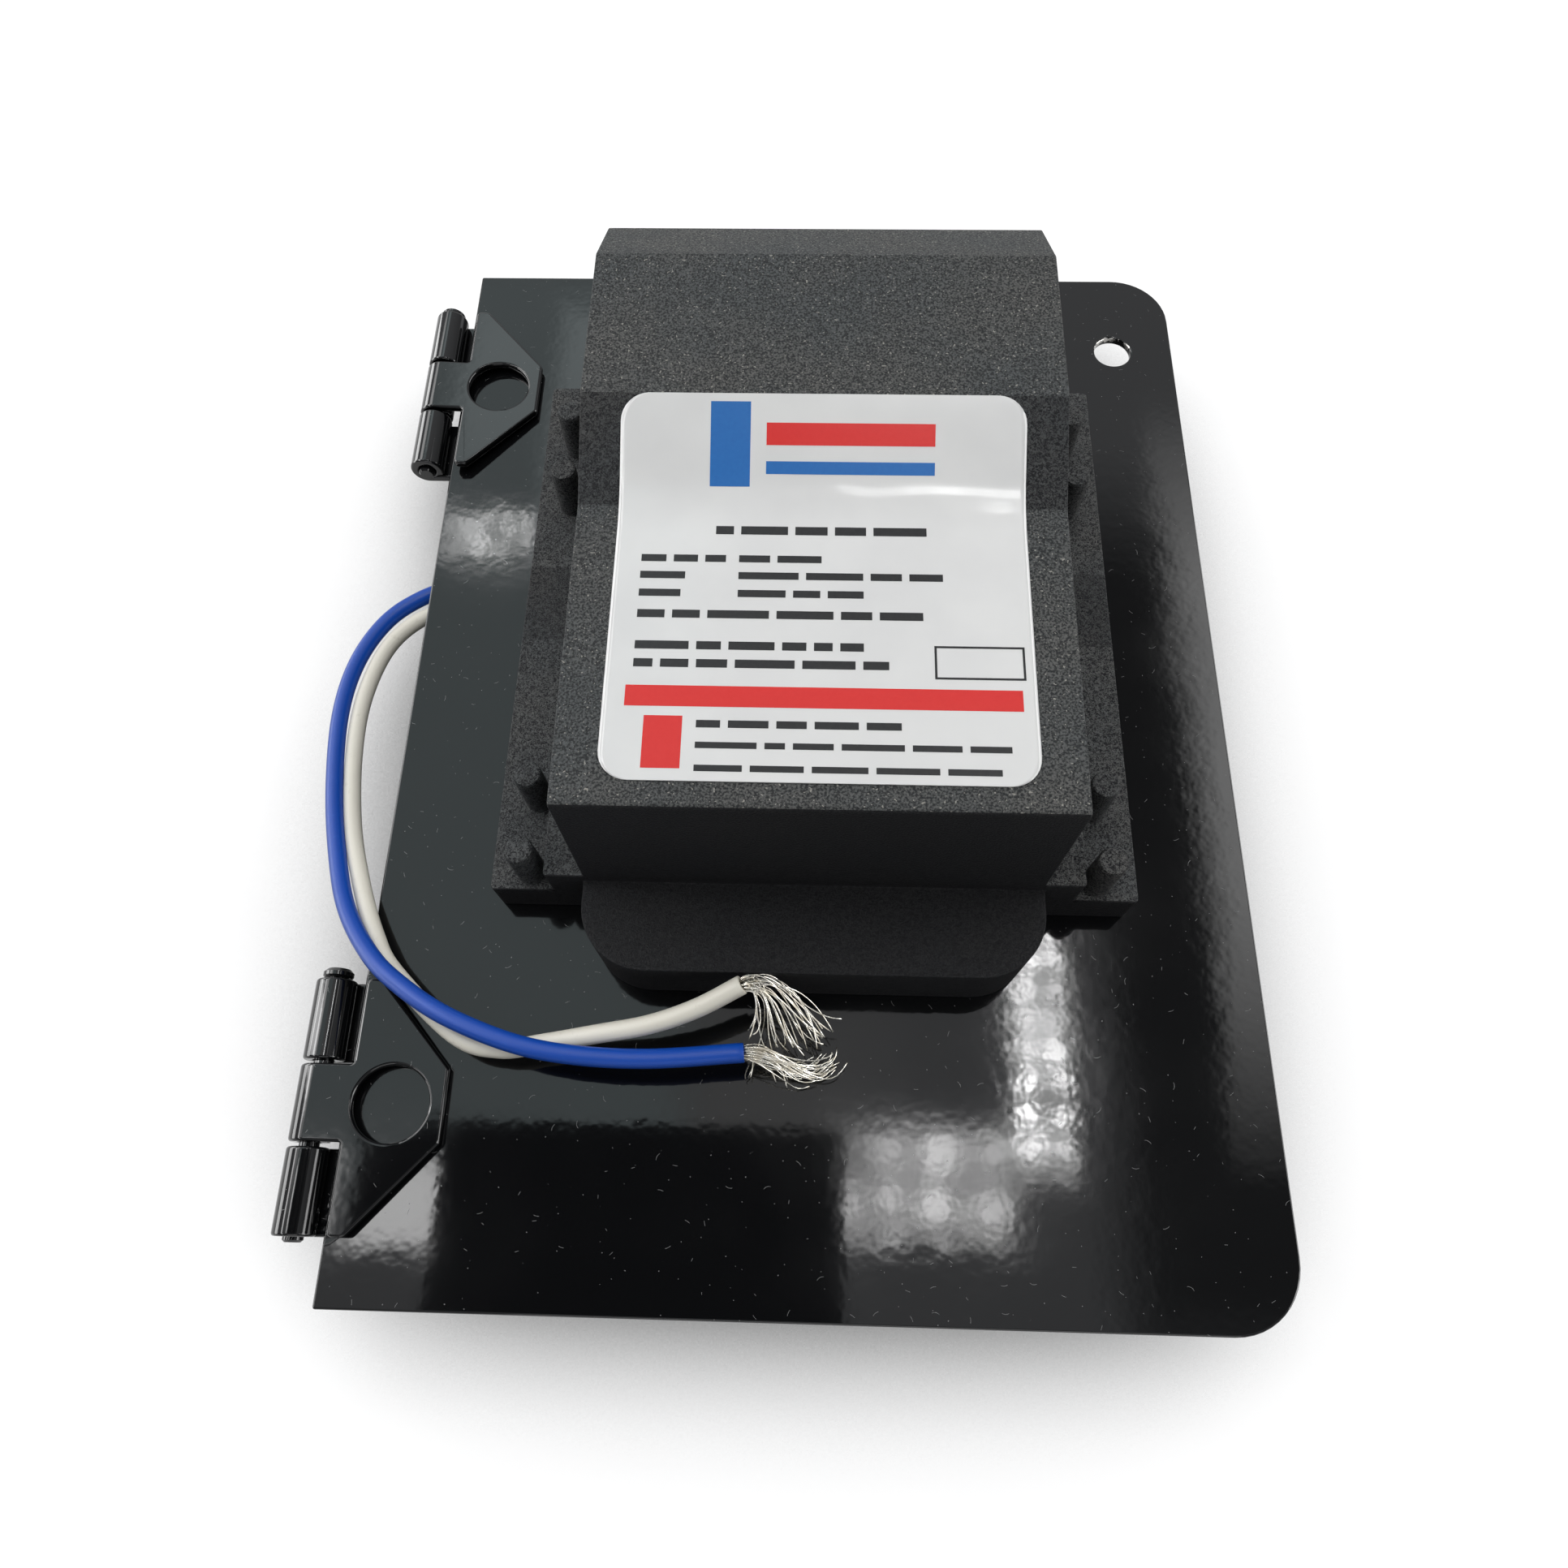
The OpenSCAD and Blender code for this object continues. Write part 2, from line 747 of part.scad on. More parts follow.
module core_blank() {
    y0 = primary_y - core_leg / 2;
    y1 = secondary_y + core_leg / 2;
    translate([case_x, 0, core_z - core_t / 2]) linear_extrude(core_t) difference() {
        translate([-core_w / 2, y0]) square([core_w, y1 - y0]);
        translate([-coil_room / 2, y0 + core_leg]) square([coil_room, y1 - y0 - 2 * core_leg]);
    }
}

// Two U-shaped halves that meet in the middle of both legs
module ferrite_core() {
    color("#3a3b3d")
    difference() {
        core_blank();
        translate([case_x - core_joint / 2, 0, plate_top]) cube([core_joint, back_y, high_top_h]);
    }
}

module winding_at(y) {
    translate([case_x, y, core_z]) rotate([0, 90, 0]) children();
}

module winding_blank(y, d) {
    winding_at(y) cylinder(d = d, h = coil_room, center = true);
}

module leg_hole(y) {
    translate([case_x - coil_room / 2 - 1, y - core_leg / 2, core_z - core_t / 2])
        cube([coil_room + 2, core_leg, core_t]);
}

// A tube on the core leg with an end wall at each side and walls between
module bobbin(y, d, walls) {
    hub = norm([core_leg, core_t]) + 2 * bobbin_t;
    difference() {
        winding_at(y) union() {
            cylinder(d = hub, h = coil_room, center = true);
            for (x = walls) translate([0, 0, x]) cylinder(d = d, h = flange_t, center = true);
        }
        leg_hole(y);
    }
}

module winding(y, d, from, to) {
    hub = norm([core_leg, core_t]) + 2 * bobbin_t;
    winding_at(y) translate([0, 0, from]) difference() {
        cylinder(d = d, h = to - from);
        translate([0, 0, -1]) cylinder(d = hub, h = to - from + 2);
    }
}

module primary_bobbin() {
    color("#d9d4c3") bobbin(primary_y, primary_d, [-wall_x, wall_x]);
}

module primary_coil() {
    color("#b5692c")
    winding(primary_y, primary_d, -wall_x + flange_t / 2, wall_x - flange_t / 2);
}

module secondary_bobbin() {
    color("#d9d4c3") bobbin(secondary_y, secondary_d, [-wall_x, 0, wall_x]);
}

module secondary_coils() {
    color("#a85f28") {
        winding(secondary_y, secondary_d, -wall_x + flange_t / 2, -flange_t / 2);
        winding(secondary_y, secondary_d, flange_t / 2, wall_x - flange_t / 2);
    }
}

// Hinges: drawn with the pin along Y through the origin

// Leaf plan: a body with cut corners, and tabs that reach the pin
module leaf_plan(tabs) {
    body_outline = [
        [leaf_root, -leaf_half], [leaf_root + leaf_end_w, -leaf_half],
        [leaf_reach, -leaf_tip_l / 2], [leaf_reach, leaf_tip_l / 2],
        [leaf_root + leaf_end_w, leaf_half], [leaf_root, leaf_half]
    ];
    difference() {
        union() {
            polygon(round_all(body_outline, sheet_r));
            for (t = tabs) translate([0, t[0]]) square([leaf_root + 1, t[1] - t[0]]);
        }
        translate([leaf_hole_at, 0]) circle(d = leaf_hole_d);
    }
}

// A knuckle rolled from the sheet, with the seam where its end meets the leaf
module knuckle(from, to, gap) {
    rotate([-90, 0, 0]) translate([0, 0, from]) linear_extrude(to - from) difference() {
        circle(knuckle_r);
        circle(pin_d / 2 + gap);
        translate([knuckle_hole_r * 0.45, -knuckle_hole_r]) square([knuckle_r, seam_w]);
    }
}

// A leaf whose sheet leaves the top of its knuckles
module leaf(tabs, gap) {
    difference() {
        translate([0, 0, knuckle_hole_r]) linear_extrude(leaf_t) leaf_plan(tabs);
        for (t = tabs) translate([0, t[0] - 1, 0]) rotate([-90, 0, 0])
            cylinder(r = knuckle_r - 0.2, h = t[1] - t[0] + 2);
    }
    for (t = tabs) knuckle(t[0], t[1], gap);
}

module at_pin(y) {
    translate([pin_x, y, pin_z]) children();
}

module free_leaf(y) {
    color("#0e0f11")
    at_pin(y) rotate([0, fold_tilt, 0]) leaf([[-mid_half, mid_half]], run_gap);
}

module fixed_leaf(y) {
    color("#0e0f11")
    at_pin(y) mirror([0, 0, 1]) leaf([[-leaf_half, -outer_from], [outer_from, leaf_half]], hold_gap);
}

// The pin has a domed head behind the hinge and a peened end in front of it
module hinge_pin(y) {
    color("#1a1b1d")
    at_pin(y) rotate([-90, 0, 0]) translate([0, 0, -leaf_half]) rotate_extrude() polygon([
        [0, -0.7], [pin_d / 2 - 0.3, -0.7], [pin_d / 2, -0.4], [pin_d / 2, hinge_l + 0.3],
        [pin_head_d / 2 - 0.2, hinge_l + 0.3], [pin_head_d / 2, hinge_l + 0.6],
        [pin_head_d / 2, hinge_l + pin_head_t - 0.3], [pin_head_d / 2 - 0.5, hinge_l + pin_head_t + 0.2],
        [0, hinge_l + pin_head_t + 0.4]
    ]);
}

module front_fixed_leaf() {
    fixed_leaf(front_hinge_y);
}

module front_free_leaf() {
    free_leaf(front_hinge_y);
}

module front_hinge_pin() {
    hinge_pin(front_hinge_y);
}

module rear_fixed_leaf() {
    fixed_leaf(rear_hinge_y);
}

module rear_free_leaf() {
    free_leaf(rear_hinge_y);
}

module rear_hinge_pin() {
    hinge_pin(rear_hinge_y);
}

// Leads

module lead(route) {
    on_plate() tube(route, [for (p = route) lead_d / 2]);
}

module blue_lead() {
    color("#1f4fa8") lead(blue_route);
}

module white_lead() {
    color("#d8d4ca") lead(white_route);
}

module blue_strands() {
    color("#b9b6ae") on_plate() tube(blue_bundle, bundle_r);
}

module white_strands() {
    color("#b9b6ae") on_plate() tube(white_bundle, bundle_r);
}

base_plate();
case();
label();
potting();
case_screws();
left_bushing();
right_bushing();
left_contact();
right_contact();
lead_grommet();
ground_insert();
ground_screw();
circuit_board();
filter_capacitor();
resonant_capacitor();
rectifier();
line_choke();
heat_sink();
power_transistor();
ferrite_core();
primary_bobbin();
primary_coil();
secondary_bobbin();
secondary_coils();
front_fixed_leaf();
front_free_leaf();
front_hinge_pin();
rear_fixed_leaf();
rear_free_leaf();
rear_hinge_pin();
blue_lead();
white_lead();
blue_strands();
white_strands();
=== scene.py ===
# %% [markdown]
# # An ignition transformer on a hinged plate
#
# A potted igniter for an oil burner sits on a gloss black steel plate. Two painted hinges hold the plate
# to the burner, and two stripped supply leads loop out from under it. The solids are already made: this
# lesson gives them their paint, plastic, brass and glaze, and adds the leads, their bare strands and the
# label's film. Every length is in metres, in the same frame as the solids.

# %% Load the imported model
import math
import random

import bmesh
import bpy
import numpy as np
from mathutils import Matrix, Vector
from mathutils.bvhtree import BVHTree


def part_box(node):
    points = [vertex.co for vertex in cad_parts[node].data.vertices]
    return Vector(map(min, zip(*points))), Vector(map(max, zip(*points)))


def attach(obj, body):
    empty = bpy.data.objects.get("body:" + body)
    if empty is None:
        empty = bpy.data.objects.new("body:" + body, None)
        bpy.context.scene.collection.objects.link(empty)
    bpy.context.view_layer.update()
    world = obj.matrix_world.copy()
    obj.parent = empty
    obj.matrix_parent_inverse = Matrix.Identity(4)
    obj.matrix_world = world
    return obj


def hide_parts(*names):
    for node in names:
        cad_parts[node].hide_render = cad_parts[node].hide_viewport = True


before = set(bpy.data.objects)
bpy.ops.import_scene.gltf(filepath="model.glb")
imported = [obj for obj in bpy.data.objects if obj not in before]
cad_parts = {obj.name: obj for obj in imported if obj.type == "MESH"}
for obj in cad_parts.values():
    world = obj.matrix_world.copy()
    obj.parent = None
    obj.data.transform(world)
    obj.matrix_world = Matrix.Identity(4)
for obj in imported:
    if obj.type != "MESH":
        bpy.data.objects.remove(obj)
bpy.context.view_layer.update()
MM = 0.001
plate_low, plate_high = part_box("base_plate")
plate_middle = Vector(((plate_low.x + plate_high.x) / 2, 0, plate_high.z))
print("plate:", [round(side / MM, 1) for side in plate_high - plate_low], "mm")

# %% [markdown]
# ## The camera
#
# The photo was taken with a phone held close above the plate's front edge, so near edges look much larger
# than far ones. Matching about sixty corners of the plate and case gave the lens and its place. A lens of
# 25 mm on a 36 mm sensor has the wide view of a phone, and a small shift puts its axis where it was.

# %% Place the camera
camera_data = bpy.data.cameras.new("photo_camera")
camera_data.sensor_width = 36
camera_data.lens = 25.222
camera_data.shift_x = 0.01045
camera_data.shift_y = 0.00988
camera_data.clip_start = 0.01
camera = bpy.data.objects.new("photo_camera", camera_data)
camera.location = Vector((0.933, -79.007, 175.763)) * MM
camera.rotation_euler = [math.radians(angle) for angle in (22.0156, 0.9782, 1.5477)]
bpy.context.scene.collection.objects.link(camera)
bpy.context.scene.camera = camera
print("camera height above the plate:", round((camera.location.z - plate_high.z) / MM), "mm")

# %% [markdown]
# ## Smooth routes and swept tubes
#
# A lead is a thin tube that follows a route. The route is a short list of given points, and a
# curve that passes through all of them makes it round. A sweep then carries a ring along the curve. The
# ring is turned as little as possible from one step to the next, so that the tube never twists.

# %% Helpers for routes, sweeps and meshes
def smooth_path(points, steps):
    """A curve that passes through every point, with a number of steps between neighbours."""
    knots = np.array(points, float)
    knots = np.vstack([2 * knots[0] - knots[1], knots, 2 * knots[-1] - knots[-2]])
    path = []
    for a, b, c, d in zip(knots, knots[1:], knots[2:], knots[3:]):
        for t in np.arange(steps) / steps:
            path.append(
                0.5 * (2 * b + (c - a) * t + (2 * a - 5 * b + 4 * c - d) * t**2 + (3 * b - a - 3 * c + d) * t**3)
            )
    path.append(knots[-2])
    return np.array(path)


def path_length(path):
    return float(np.linalg.norm(np.diff(path, axis=0), axis=1).sum())


def carried_frames(path):
    """Two directions across the path at each point, carried along without twisting."""
    along = np.gradient(path, axis=0)
    along /= np.linalg.norm(along, axis=1)[:, None]
    side = np.cross(along[0], [0.3, 0.5, 0.8])
    sides = []
    for direction in along:
        side = side - direction * (side @ direction)
        side /= np.linalg.norm(side)
        sides.append(side)
    sides = np.array(sides)
    return along, sides, np.cross(along, sides)


def sweep(path, radii, ring_size):
    """Vertices and faces of a closed tube along a path, with one radius for each point."""
    _, side, other = carried_frames(path)
    turn = 2 * math.pi * np.arange(ring_size) / ring_size
    ring = np.cos(turn)[None, :, None] * side[:, None, :] + np.sin(turn)[None, :, None] * other[:, None, :]
    points = path[:, None, :] + ring * np.asarray(radii)[:, None, None]
    count = len(path)
    faces = []
    for i in range(count - 1):
        for k in range(ring_size):
            after = (k + 1) % ring_size
            faces.append((i * ring_size + k, i * ring_size + after, (i + 1) * ring_size + after,
                          (i + 1) * ring_size + k))
    faces.append(tuple(range(ring_size - 1, -1, -1)))
    faces.append(tuple((count - 1) * ring_size + k for k in range(ring_size)))
    return points.reshape(-1, 3), faces


def new_piece(name, points, faces, smooth=True):
    """A mesh object in the row frame."""
    mesh = bpy.data.meshes.new(name)
    mesh.from_pydata([tuple(p) for p in points], [], faces)
    for face in mesh.polygons:
        face.use_smooth = smooth
    mesh.update()
    piece = bpy.data.objects.new(name, mesh)
    bpy.context.scene.collection.objects.link(piece)
    return piece


print("a test curve through 3 points has", len(smooth_path([(0, 0, 0), (1, 0, 0), (1, 1, 0)], 4)), "points")

# %% [markdown]
# ## The two supply leads
#
# Both leads are hook-up wire, 2.6 mm over the insulation. They leave a grommet under the plate, come out
# past its hinge side, rise over the front hinge and spring up over the plate: short wire is stiff enough to
# stand by itself. Their mirror images in the paint show how high: about 8 mm and 13 mm at the bare ends. The
# points are those of the solids' routes, from the plate's middle and its top face.

# %% Route the leads
LEAD_D = 2.6 * MM
BORE_R = 0.85 * MM
blue_points = [
    (-24, 35.9, 2.5), (-24, 35.9, -4), (-24.5, 35.7, -7.2), (-27, 34.9, -10),
    (-31.5, 33.5, -11.2), (-38, 31.4, -10.8), (-46, 28.8, -9.2), (-54, 26.2, -7.4),
    (-61, 24, -5.9), (-66.6, 21, -5), (-71.6, 15.8, -4.2), (-74.8, 7.5, -3.2),
    (-75.4, -2.9, -2), (-73.4, -16.3, -0.5), (-70, -28.2, 1.5), (-66.4, -36.5, 3.6),
    (-61.3, -43.3, 5.7), (-56.2, -47.6, 7), (-49, -51.9, 8), (-39.5, -55.4, 8.4),
    (-31, -56.8, 8.4), (-21, -57, 8.2), (-8.7, -55.9, 8),
]
white_points = [
    (-24, 32.1, 2.5), (-24, 32.1, -4), (-24.5, 31.9, -7.2), (-27, 31, -9.9),
    (-31.5, 29.5, -11), (-38, 27.3, -10.4), (-46, 24.5, -8.8), (-54, 21.8, -7),
    (-61, 19.3, -5.6), (-66.4, 16.6, -4.9), (-70.7, 10.6, -4.2), (-72.6, 0.9, -3.2),
    (-72, -9.9, -2), (-69.5, -22, -0.4), (-65.8, -32.1, 1.4), (-62, -40, 2.8),
    (-58.2, -45.3, 3.8), (-48.2, -53.9, 4.8), (-41.8, -55.7, 5), (-35.8, -54.9, 5.5),
    (-28.4, -53.7, 6.8), (-21.4, -52.6, 8.5), (-15, -50.7, 10.6), (-9, -47.9, 12.8),
]


def from_plate(points):
    """Turns points in millimetres from the plate's middle into the row frame."""
    return [plate_middle + Vector(p) * MM for p in points]


def insulation(name, points):
    """A lead's insulation: a round tube, cut square at its free end, with the bore left by its strands."""
    path = smooth_path(from_plate(points), 8)
    length = path_length(path)
    end = path[-1]
    back = path[-2] - end
    back /= np.linalg.norm(back)
    edge = 0.12 * MM
    depth = 0.7 * MM
    lip = np.array([end + back * edge, end, end, end + back * depth])
    radii = [LEAD_D / 2] * (len(path) - 1) + [LEAD_D / 2, LEAD_D / 2 - edge, BORE_R, BORE_R * 0.9]
    ring_size = 24
    _, side, other = carried_frames(path)
    body = np.vstack([path[:-1], lip])
    side = np.vstack([side[:-1]] + [side[-1]] * 4)
    other = np.vstack([other[:-1]] + [other[-1]] * 4)
    turn = 2 * math.pi * np.arange(ring_size) / ring_size
    ring = np.cos(turn)[None, :, None] * side[:, None, :] + np.sin(turn)[None, :, None] * other[:, None, :]
    points = (body[:, None, :] + ring * np.array(radii)[:, None, None]).reshape(-1, 3)
    faces = []
    for i in range(len(body) - 1):
        for k in range(ring_size):
            after = (k + 1) % ring_size
            faces.append((i * ring_size + k, i * ring_size + after, (i + 1) * ring_size + after,
                          (i + 1) * ring_size + k))
    faces.append(tuple(range(ring_size - 1, -1, -1)))
    faces.append(tuple((len(body) - 1) * ring_size + k for k in range(ring_size)))
    piece = new_piece(name, points, faces)
    run = np.concatenate([[0], np.cumsum(np.linalg.norm(np.diff(body, axis=0), axis=1))])
    layer = piece.data.uv_layers.new(name="along_lead")
    for face in piece.data.polygons:
        for corner in face.loop_indices:
            i, k = divmod(piece.data.loops[corner].vertex_index, ring_size)
            layer.data[corner].uv = (run[i], k / ring_size)
    return piece, path, length


blue_insulation, blue_path, blue_length = insulation("blue_insulation", blue_points)
white_insulation, white_path, white_length = insulation("white_insulation", white_points)
print("blue lead:", round(blue_length / MM), "mm, white lead:", round(white_length / MM), "mm")

# %% [markdown]
# ## Bare strands
#
# Each lead ends in a spray of fine tinned wires. The installer stripped them and did not twist them, so
# they fan out, droop and curl back. Each wire here is its own thin swept tube, from the bore to a tip of
# its own. A cubic curve gives it the springy bend of thin copper, and a little random wave keeps any two
# from lying side by side. The random numbers are seeded, so every run gives the same spray.

# %% Spray the strands
STRAND_R = 0.085 * MM


def bezier(a, b, c, d, count):
    t = np.linspace(0, 1, count)[:, None]
    return a * (1 - t) ** 3 + 3 * b * t * (1 - t) ** 2 + 3 * c * t**2 * (1 - t) + d * t**3


def strand(start, leave, tip, arrive, chance, wave):
    """One wire from start to tip, with a small wave that dies out at the insulation."""
    reach = np.linalg.norm(tip - start)
    path = bezier(start, start + leave * reach * 0.45, tip - arrive * reach * 0.4, tip, 14)
    share = np.linspace(0, 1, 14)
    for axis in range(3):
        swing = chance.uniform(-1, 1) * np.sin(share * chance.uniform(3, 9) + chance.uniform(0, 6))
        path[:, axis] += wave * share * swing
    floor = plate_middle.z + STRAND_R
    path[:, 2] = np.maximum(path[:, 2], floor)
    return path


def spray(name, lead_path, groups, seed):
    """All wires of one lead in one mesh. A group is a count, a tip, its spread, the way its tips point and a wave."""
    chance = random.Random(seed)
    end = lead_path[-1]
    leave = lead_path[-1] - lead_path[-3]
    leave /= np.linalg.norm(leave)
    _, side, other = carried_frames(lead_path)
    points, faces = [], []
    for count, tip, spread, arrive, wave in groups:
        for _ in range(count):
            turn = chance.uniform(0, 2 * math.pi)
            out = 0.72 * MM * math.sqrt(chance.random())
            across = side[-1] * math.cos(turn) + other[-1] * math.sin(turn)
            start = end - leave * 0.6 * MM + across * out
            goal = np.array(from_plate([tip])[0])
            goal += np.array([chance.gauss(0, s * MM) for s in spread])
            goal[2] = max(goal[2], plate_middle.z + 2 * STRAND_R)
            heading = np.array(arrive, float) + np.array([chance.gauss(0, 0.25) for _ in range(3)])
            heading /= np.linalg.norm(heading)
            first = leave + across * 0.35 * out / (0.72 * MM)
            wire = strand(start, first / np.linalg.norm(first), goal, heading, chance, wave * MM)
            wire_points, wire_faces = sweep(wire, [STRAND_R] * len(wire), 5)
            base = sum(len(p) for p in points)
            points.append(wire_points)
            faces.extend(tuple(base + v for v in face) for face in wire_faces)
    return new_piece(name, np.vstack(points), faces)


# count, tip in mm from the plate's middle, spread in mm, heading of the tip, wave in mm
blue_groups = [
    (16, (2.6, -56.2, 2.2), (0.8, 0.9, 0.7), (0.7, 0.75, 0.3), 0.5),
    (10, (-0.6, -57.6, 2.4), (1.4, 0.5, 0.7), (0.95, 0.4, -0.1), 0.5),
    (5, (3.0, -54.9, 3.4), (0.5, 0.5, 0.6), (0.6, 0.8, 0.3), 0.6),
    (3, (-8.2, -58.2, 1.8), (0.4, 0.4, 0.5), (-0.1, -0.7, -0.7), 0.3),
    (4, (-4.6, -58.8, 0.8), (1.2, 0.4, 0.4), (0.4, -0.7, -0.6), 0.3),
]
white_groups = [
    (13, (1.9, -53.0, 5.8), (0.7, 0.8, 0.6), (0.75, -0.55, -0.2), 0.5),
    (9, (-1.4, -54.6, 5.0), (1.5, 0.6, 0.8), (0.5, -0.7, -0.4), 0.6),
    (6, (-5.2, -55.0, 5.2), (1.2, 0.5, 0.8), (0.2, -0.6, -0.7), 0.8),
    (4, (-7.6, -52.8, 7.6), (0.7, 0.7, 0.9), (-0.4, -0.4, -0.7), 0.9),
    (1, (3.9, -51.2, 8.0), (0.1, 0.1, 0.1), (1, -0.05, 0), 0.1),
]
blue_wires = spray("blue_wires", blue_path, blue_groups, 11)
white_wires = spray("white_wires", white_path, white_groups, 23)
for wires in (blue_wires, white_wires):
    print(wires.name, "faces:", len(wires.data.polygons))

# %% [markdown]
#
# The new meshes stand for the plain solids of the same leads, which are hidden. They move with the igniter.

for piece, node, slot in (
    (blue_insulation, "blue_lead", "blue_insulation"),
    (white_insulation, "white_lead", "white_insulation"),
    (blue_wires, "blue_strands", "tinned_copper"),
    (white_wires, "white_strands", "tinned_copper"),
):
    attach(piece, "igniter")
    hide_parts(node)

# %% [markdown]
# ## Short calls for node materials
#
# Every finish is a small graph of nodes around one Principled shader. The graph below adds nodes with
# short calls. Texture places come from the object's own coordinates, which are metres in the row frame, so
# a grain of 0.3 mm is written as 0.3 mm and keeps that size on every piece.

# %% A graph of nodes
class Finish:
    """One material, and short calls that add nodes to it."""

    def __init__(self, name, colour, roughness, metallic=0.0, specular=0.5):
        self.material = bpy.data.materials.new(name)
        self.material.use_nodes = True
        self.tree = self.material.node_tree
        self.shader = self.tree.nodes["Principled BSDF"]
        self.set("Base Color", (*colour, 1))
        self.set("Roughness", roughness)
        self.set("Metallic", metallic)
        self.set("Specular IOR Level", specular)
        self.place = self.add("TexCoord").outputs["Object"]

    def set(self, socket, value):
        self.feed(self.shader.inputs[socket], value)

    def feed(self, socket, value):
        if isinstance(value, bpy.types.NodeSocket):
            self.tree.links.new(value, socket)
        else:
            socket.default_value = value

    def add(self, kind, inputs=(), **settings):
        node = self.tree.nodes.new("ShaderNode" + kind)
        for key, value in settings.items():
            setattr(node, key, value)
        for key, value in dict(inputs).items():
            self.feed(node.inputs[key], value)
        return node

    def maths(self, operation, *values):
        node = self.add("Math", operation=operation)
        for socket, value in zip(node.inputs, values):
            self.feed(socket, value)
        return node.outputs[0]

    def vector(self, operation, *values):
        node = self.add("VectorMath", operation=operation)
        for socket, value in zip(node.inputs, values):
            self.feed(socket, value)
        return node.outputs["Value" if operation in ("LENGTH", "DISTANCE", "DOT_PRODUCT") else "Vector"]

    def split(self, vector):
        return self.add("SeparateXYZ", {0: vector}).outputs

    def noise(self, size, detail=2.0, rough=0.5, place=None, warp=0.0):
        """Soft noise from 0 to 1 whose blobs are about size across, in metres."""
        node = self.add("TexNoise", {
            "Vector": place or self.place, "Scale": 1 / size, "Detail": detail, "Roughness": rough,
            "Distortion": warp,
        })
        return node.outputs["Fac"]

    def cells(self, size, feature="F1", place=None, output="Distance"):
        node = self.add("TexVoronoi", {"Vector": place or self.place, "Scale": 1 / size}, feature=feature)
        return node.outputs[output]

    def span(self, value, low, high, to_low=0.0, to_high=1.0):
        """Maps low to high onto new ends, and holds it there outside."""
        node = self.add("MapRange", {0: value, 1: low, 2: high, 3: to_low, 4: to_high})
        return node.outputs[0]

    def mix(self, share, first, second):
        node = self.add("Mix", data_type="RGBA")
        self.feed(node.inputs[0], share)
        self.feed(node.inputs[6], first if isinstance(first, bpy.types.NodeSocket) else (*first, 1))
        self.feed(node.inputs[7], second if isinstance(second, bpy.types.NodeSocket) else (*second, 1))
        return node.outputs[2]

    def bump(self, height, depth, under=None):
        """Tilts the surface as if height, from 0 to 1, stood depth metres high."""
        inputs = {"Height": height, "Distance": depth, "Strength": 1.0}
        if under is not None:
            inputs["Normal"] = under
        normal = self.add("Bump", inputs).outputs["Normal"]
        self.set("Normal", normal)
        return normal


def dress(nodes, finish):
    """Gives CAD nodes or new pieces one material."""
    for node in nodes:
        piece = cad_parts[node] if isinstance(node, str) else node
        piece.data.materials.clear()
        piece.data.materials.append(finish.material)


print("finishes so far:", len(bpy.data.materials))

# %% [markdown]
# ## Gloss black paint
#
# The plate and hinges share one coat of gloss enamel. Such paint is a mirror with faults. Orange peel, a
# soft swell of two or three millimetres, breaks up the lamps' images. Dust and lint have dried into the
# coat as small pale flecks. Near the front left corner the coat ran and set in curved ripples. The flecks
# are drawn from random cells: each cell turns its own short line, and only some cells keep it.

# %% Flecks from random cells
def flecks(paint, size, length, width, keep, offset):
    """A mask of short curved fibres, one in each kept cell, seen from above."""
    flat = paint.vector("MULTIPLY", paint.vector("ADD", paint.place, (offset, offset, 0)), (1, 1, 0))
    cell = paint.add("TexVoronoi", {"Vector": flat, "Scale": 1 / size}, voronoi_dimensions="2D")
    middle = paint.vector("SCALE", cell.outputs["Position"])
    middle.node.inputs["Scale"].default_value = 1.0
    away = paint.vector("SUBTRACT", flat, middle)
    luck = paint.add("SeparateColor", {0: cell.outputs["Color"]}).outputs
    turned = paint.add("VectorRotate", {
        "Vector": away, "Angle": paint.maths("MULTIPLY", luck[0], math.tau),
    }, rotation_type="Z_AXIS")
    x, y, _ = paint.split(turned.outputs[0])
    bow = paint.maths("MULTIPLY", paint.maths("MULTIPLY", x, x), paint.span(luck[1], 0, 1, -700, 700))
    near = paint.maths("LESS_THAN", paint.maths("ABSOLUTE", paint.maths("SUBTRACT", y, bow)), width)
    reach = paint.maths("MULTIPLY", luck[1], length)
    within = paint.maths("LESS_THAN", paint.maths("ABSOLUTE", x), reach)
    kept = paint.maths("LESS_THAN", luck[2], keep)
    return paint.maths("MULTIPLY", paint.maths("MULTIPLY", near, within), kept)


# %% Mix the paint
paint = Finish("gloss_black_paint", (0.0035, 0.0037, 0.0042), 0.07)
peel = paint.noise(1.5 * MM, detail=1.0)
x, y, z = paint.split(paint.vector("SUBTRACT", paint.place, tuple(plate_middle + Vector((-68, -70, 0)) * MM)))
radius = paint.maths("SQRT", paint.maths("ADD", paint.maths("MULTIPLY", x, x), paint.maths("MULTIPLY", y, y)))
radius = paint.maths("ADD", radius, paint.maths("MULTIPLY", paint.noise(3.5 * MM, detail=2), 2.2 * MM))
ring = paint.maths("SINE", paint.maths("MULTIPLY", radius, math.tau / (1.25 * MM)))
ring_zone = paint.maths("MULTIPLY", paint.span(radius, 6.5 * MM, 9 * MM), paint.span(radius, 13 * MM, 11 * MM))
on_corner = paint.maths("MULTIPLY", paint.span(y, -4 * MM, -6.5 * MM), paint.span(z, 0.3 * MM, 0.1 * MM))
runs = paint.maths("MULTIPLY", paint.maths("MULTIPLY", ring, ring_zone), on_corner)
swell = paint.noise(9 * MM, detail=1.0)
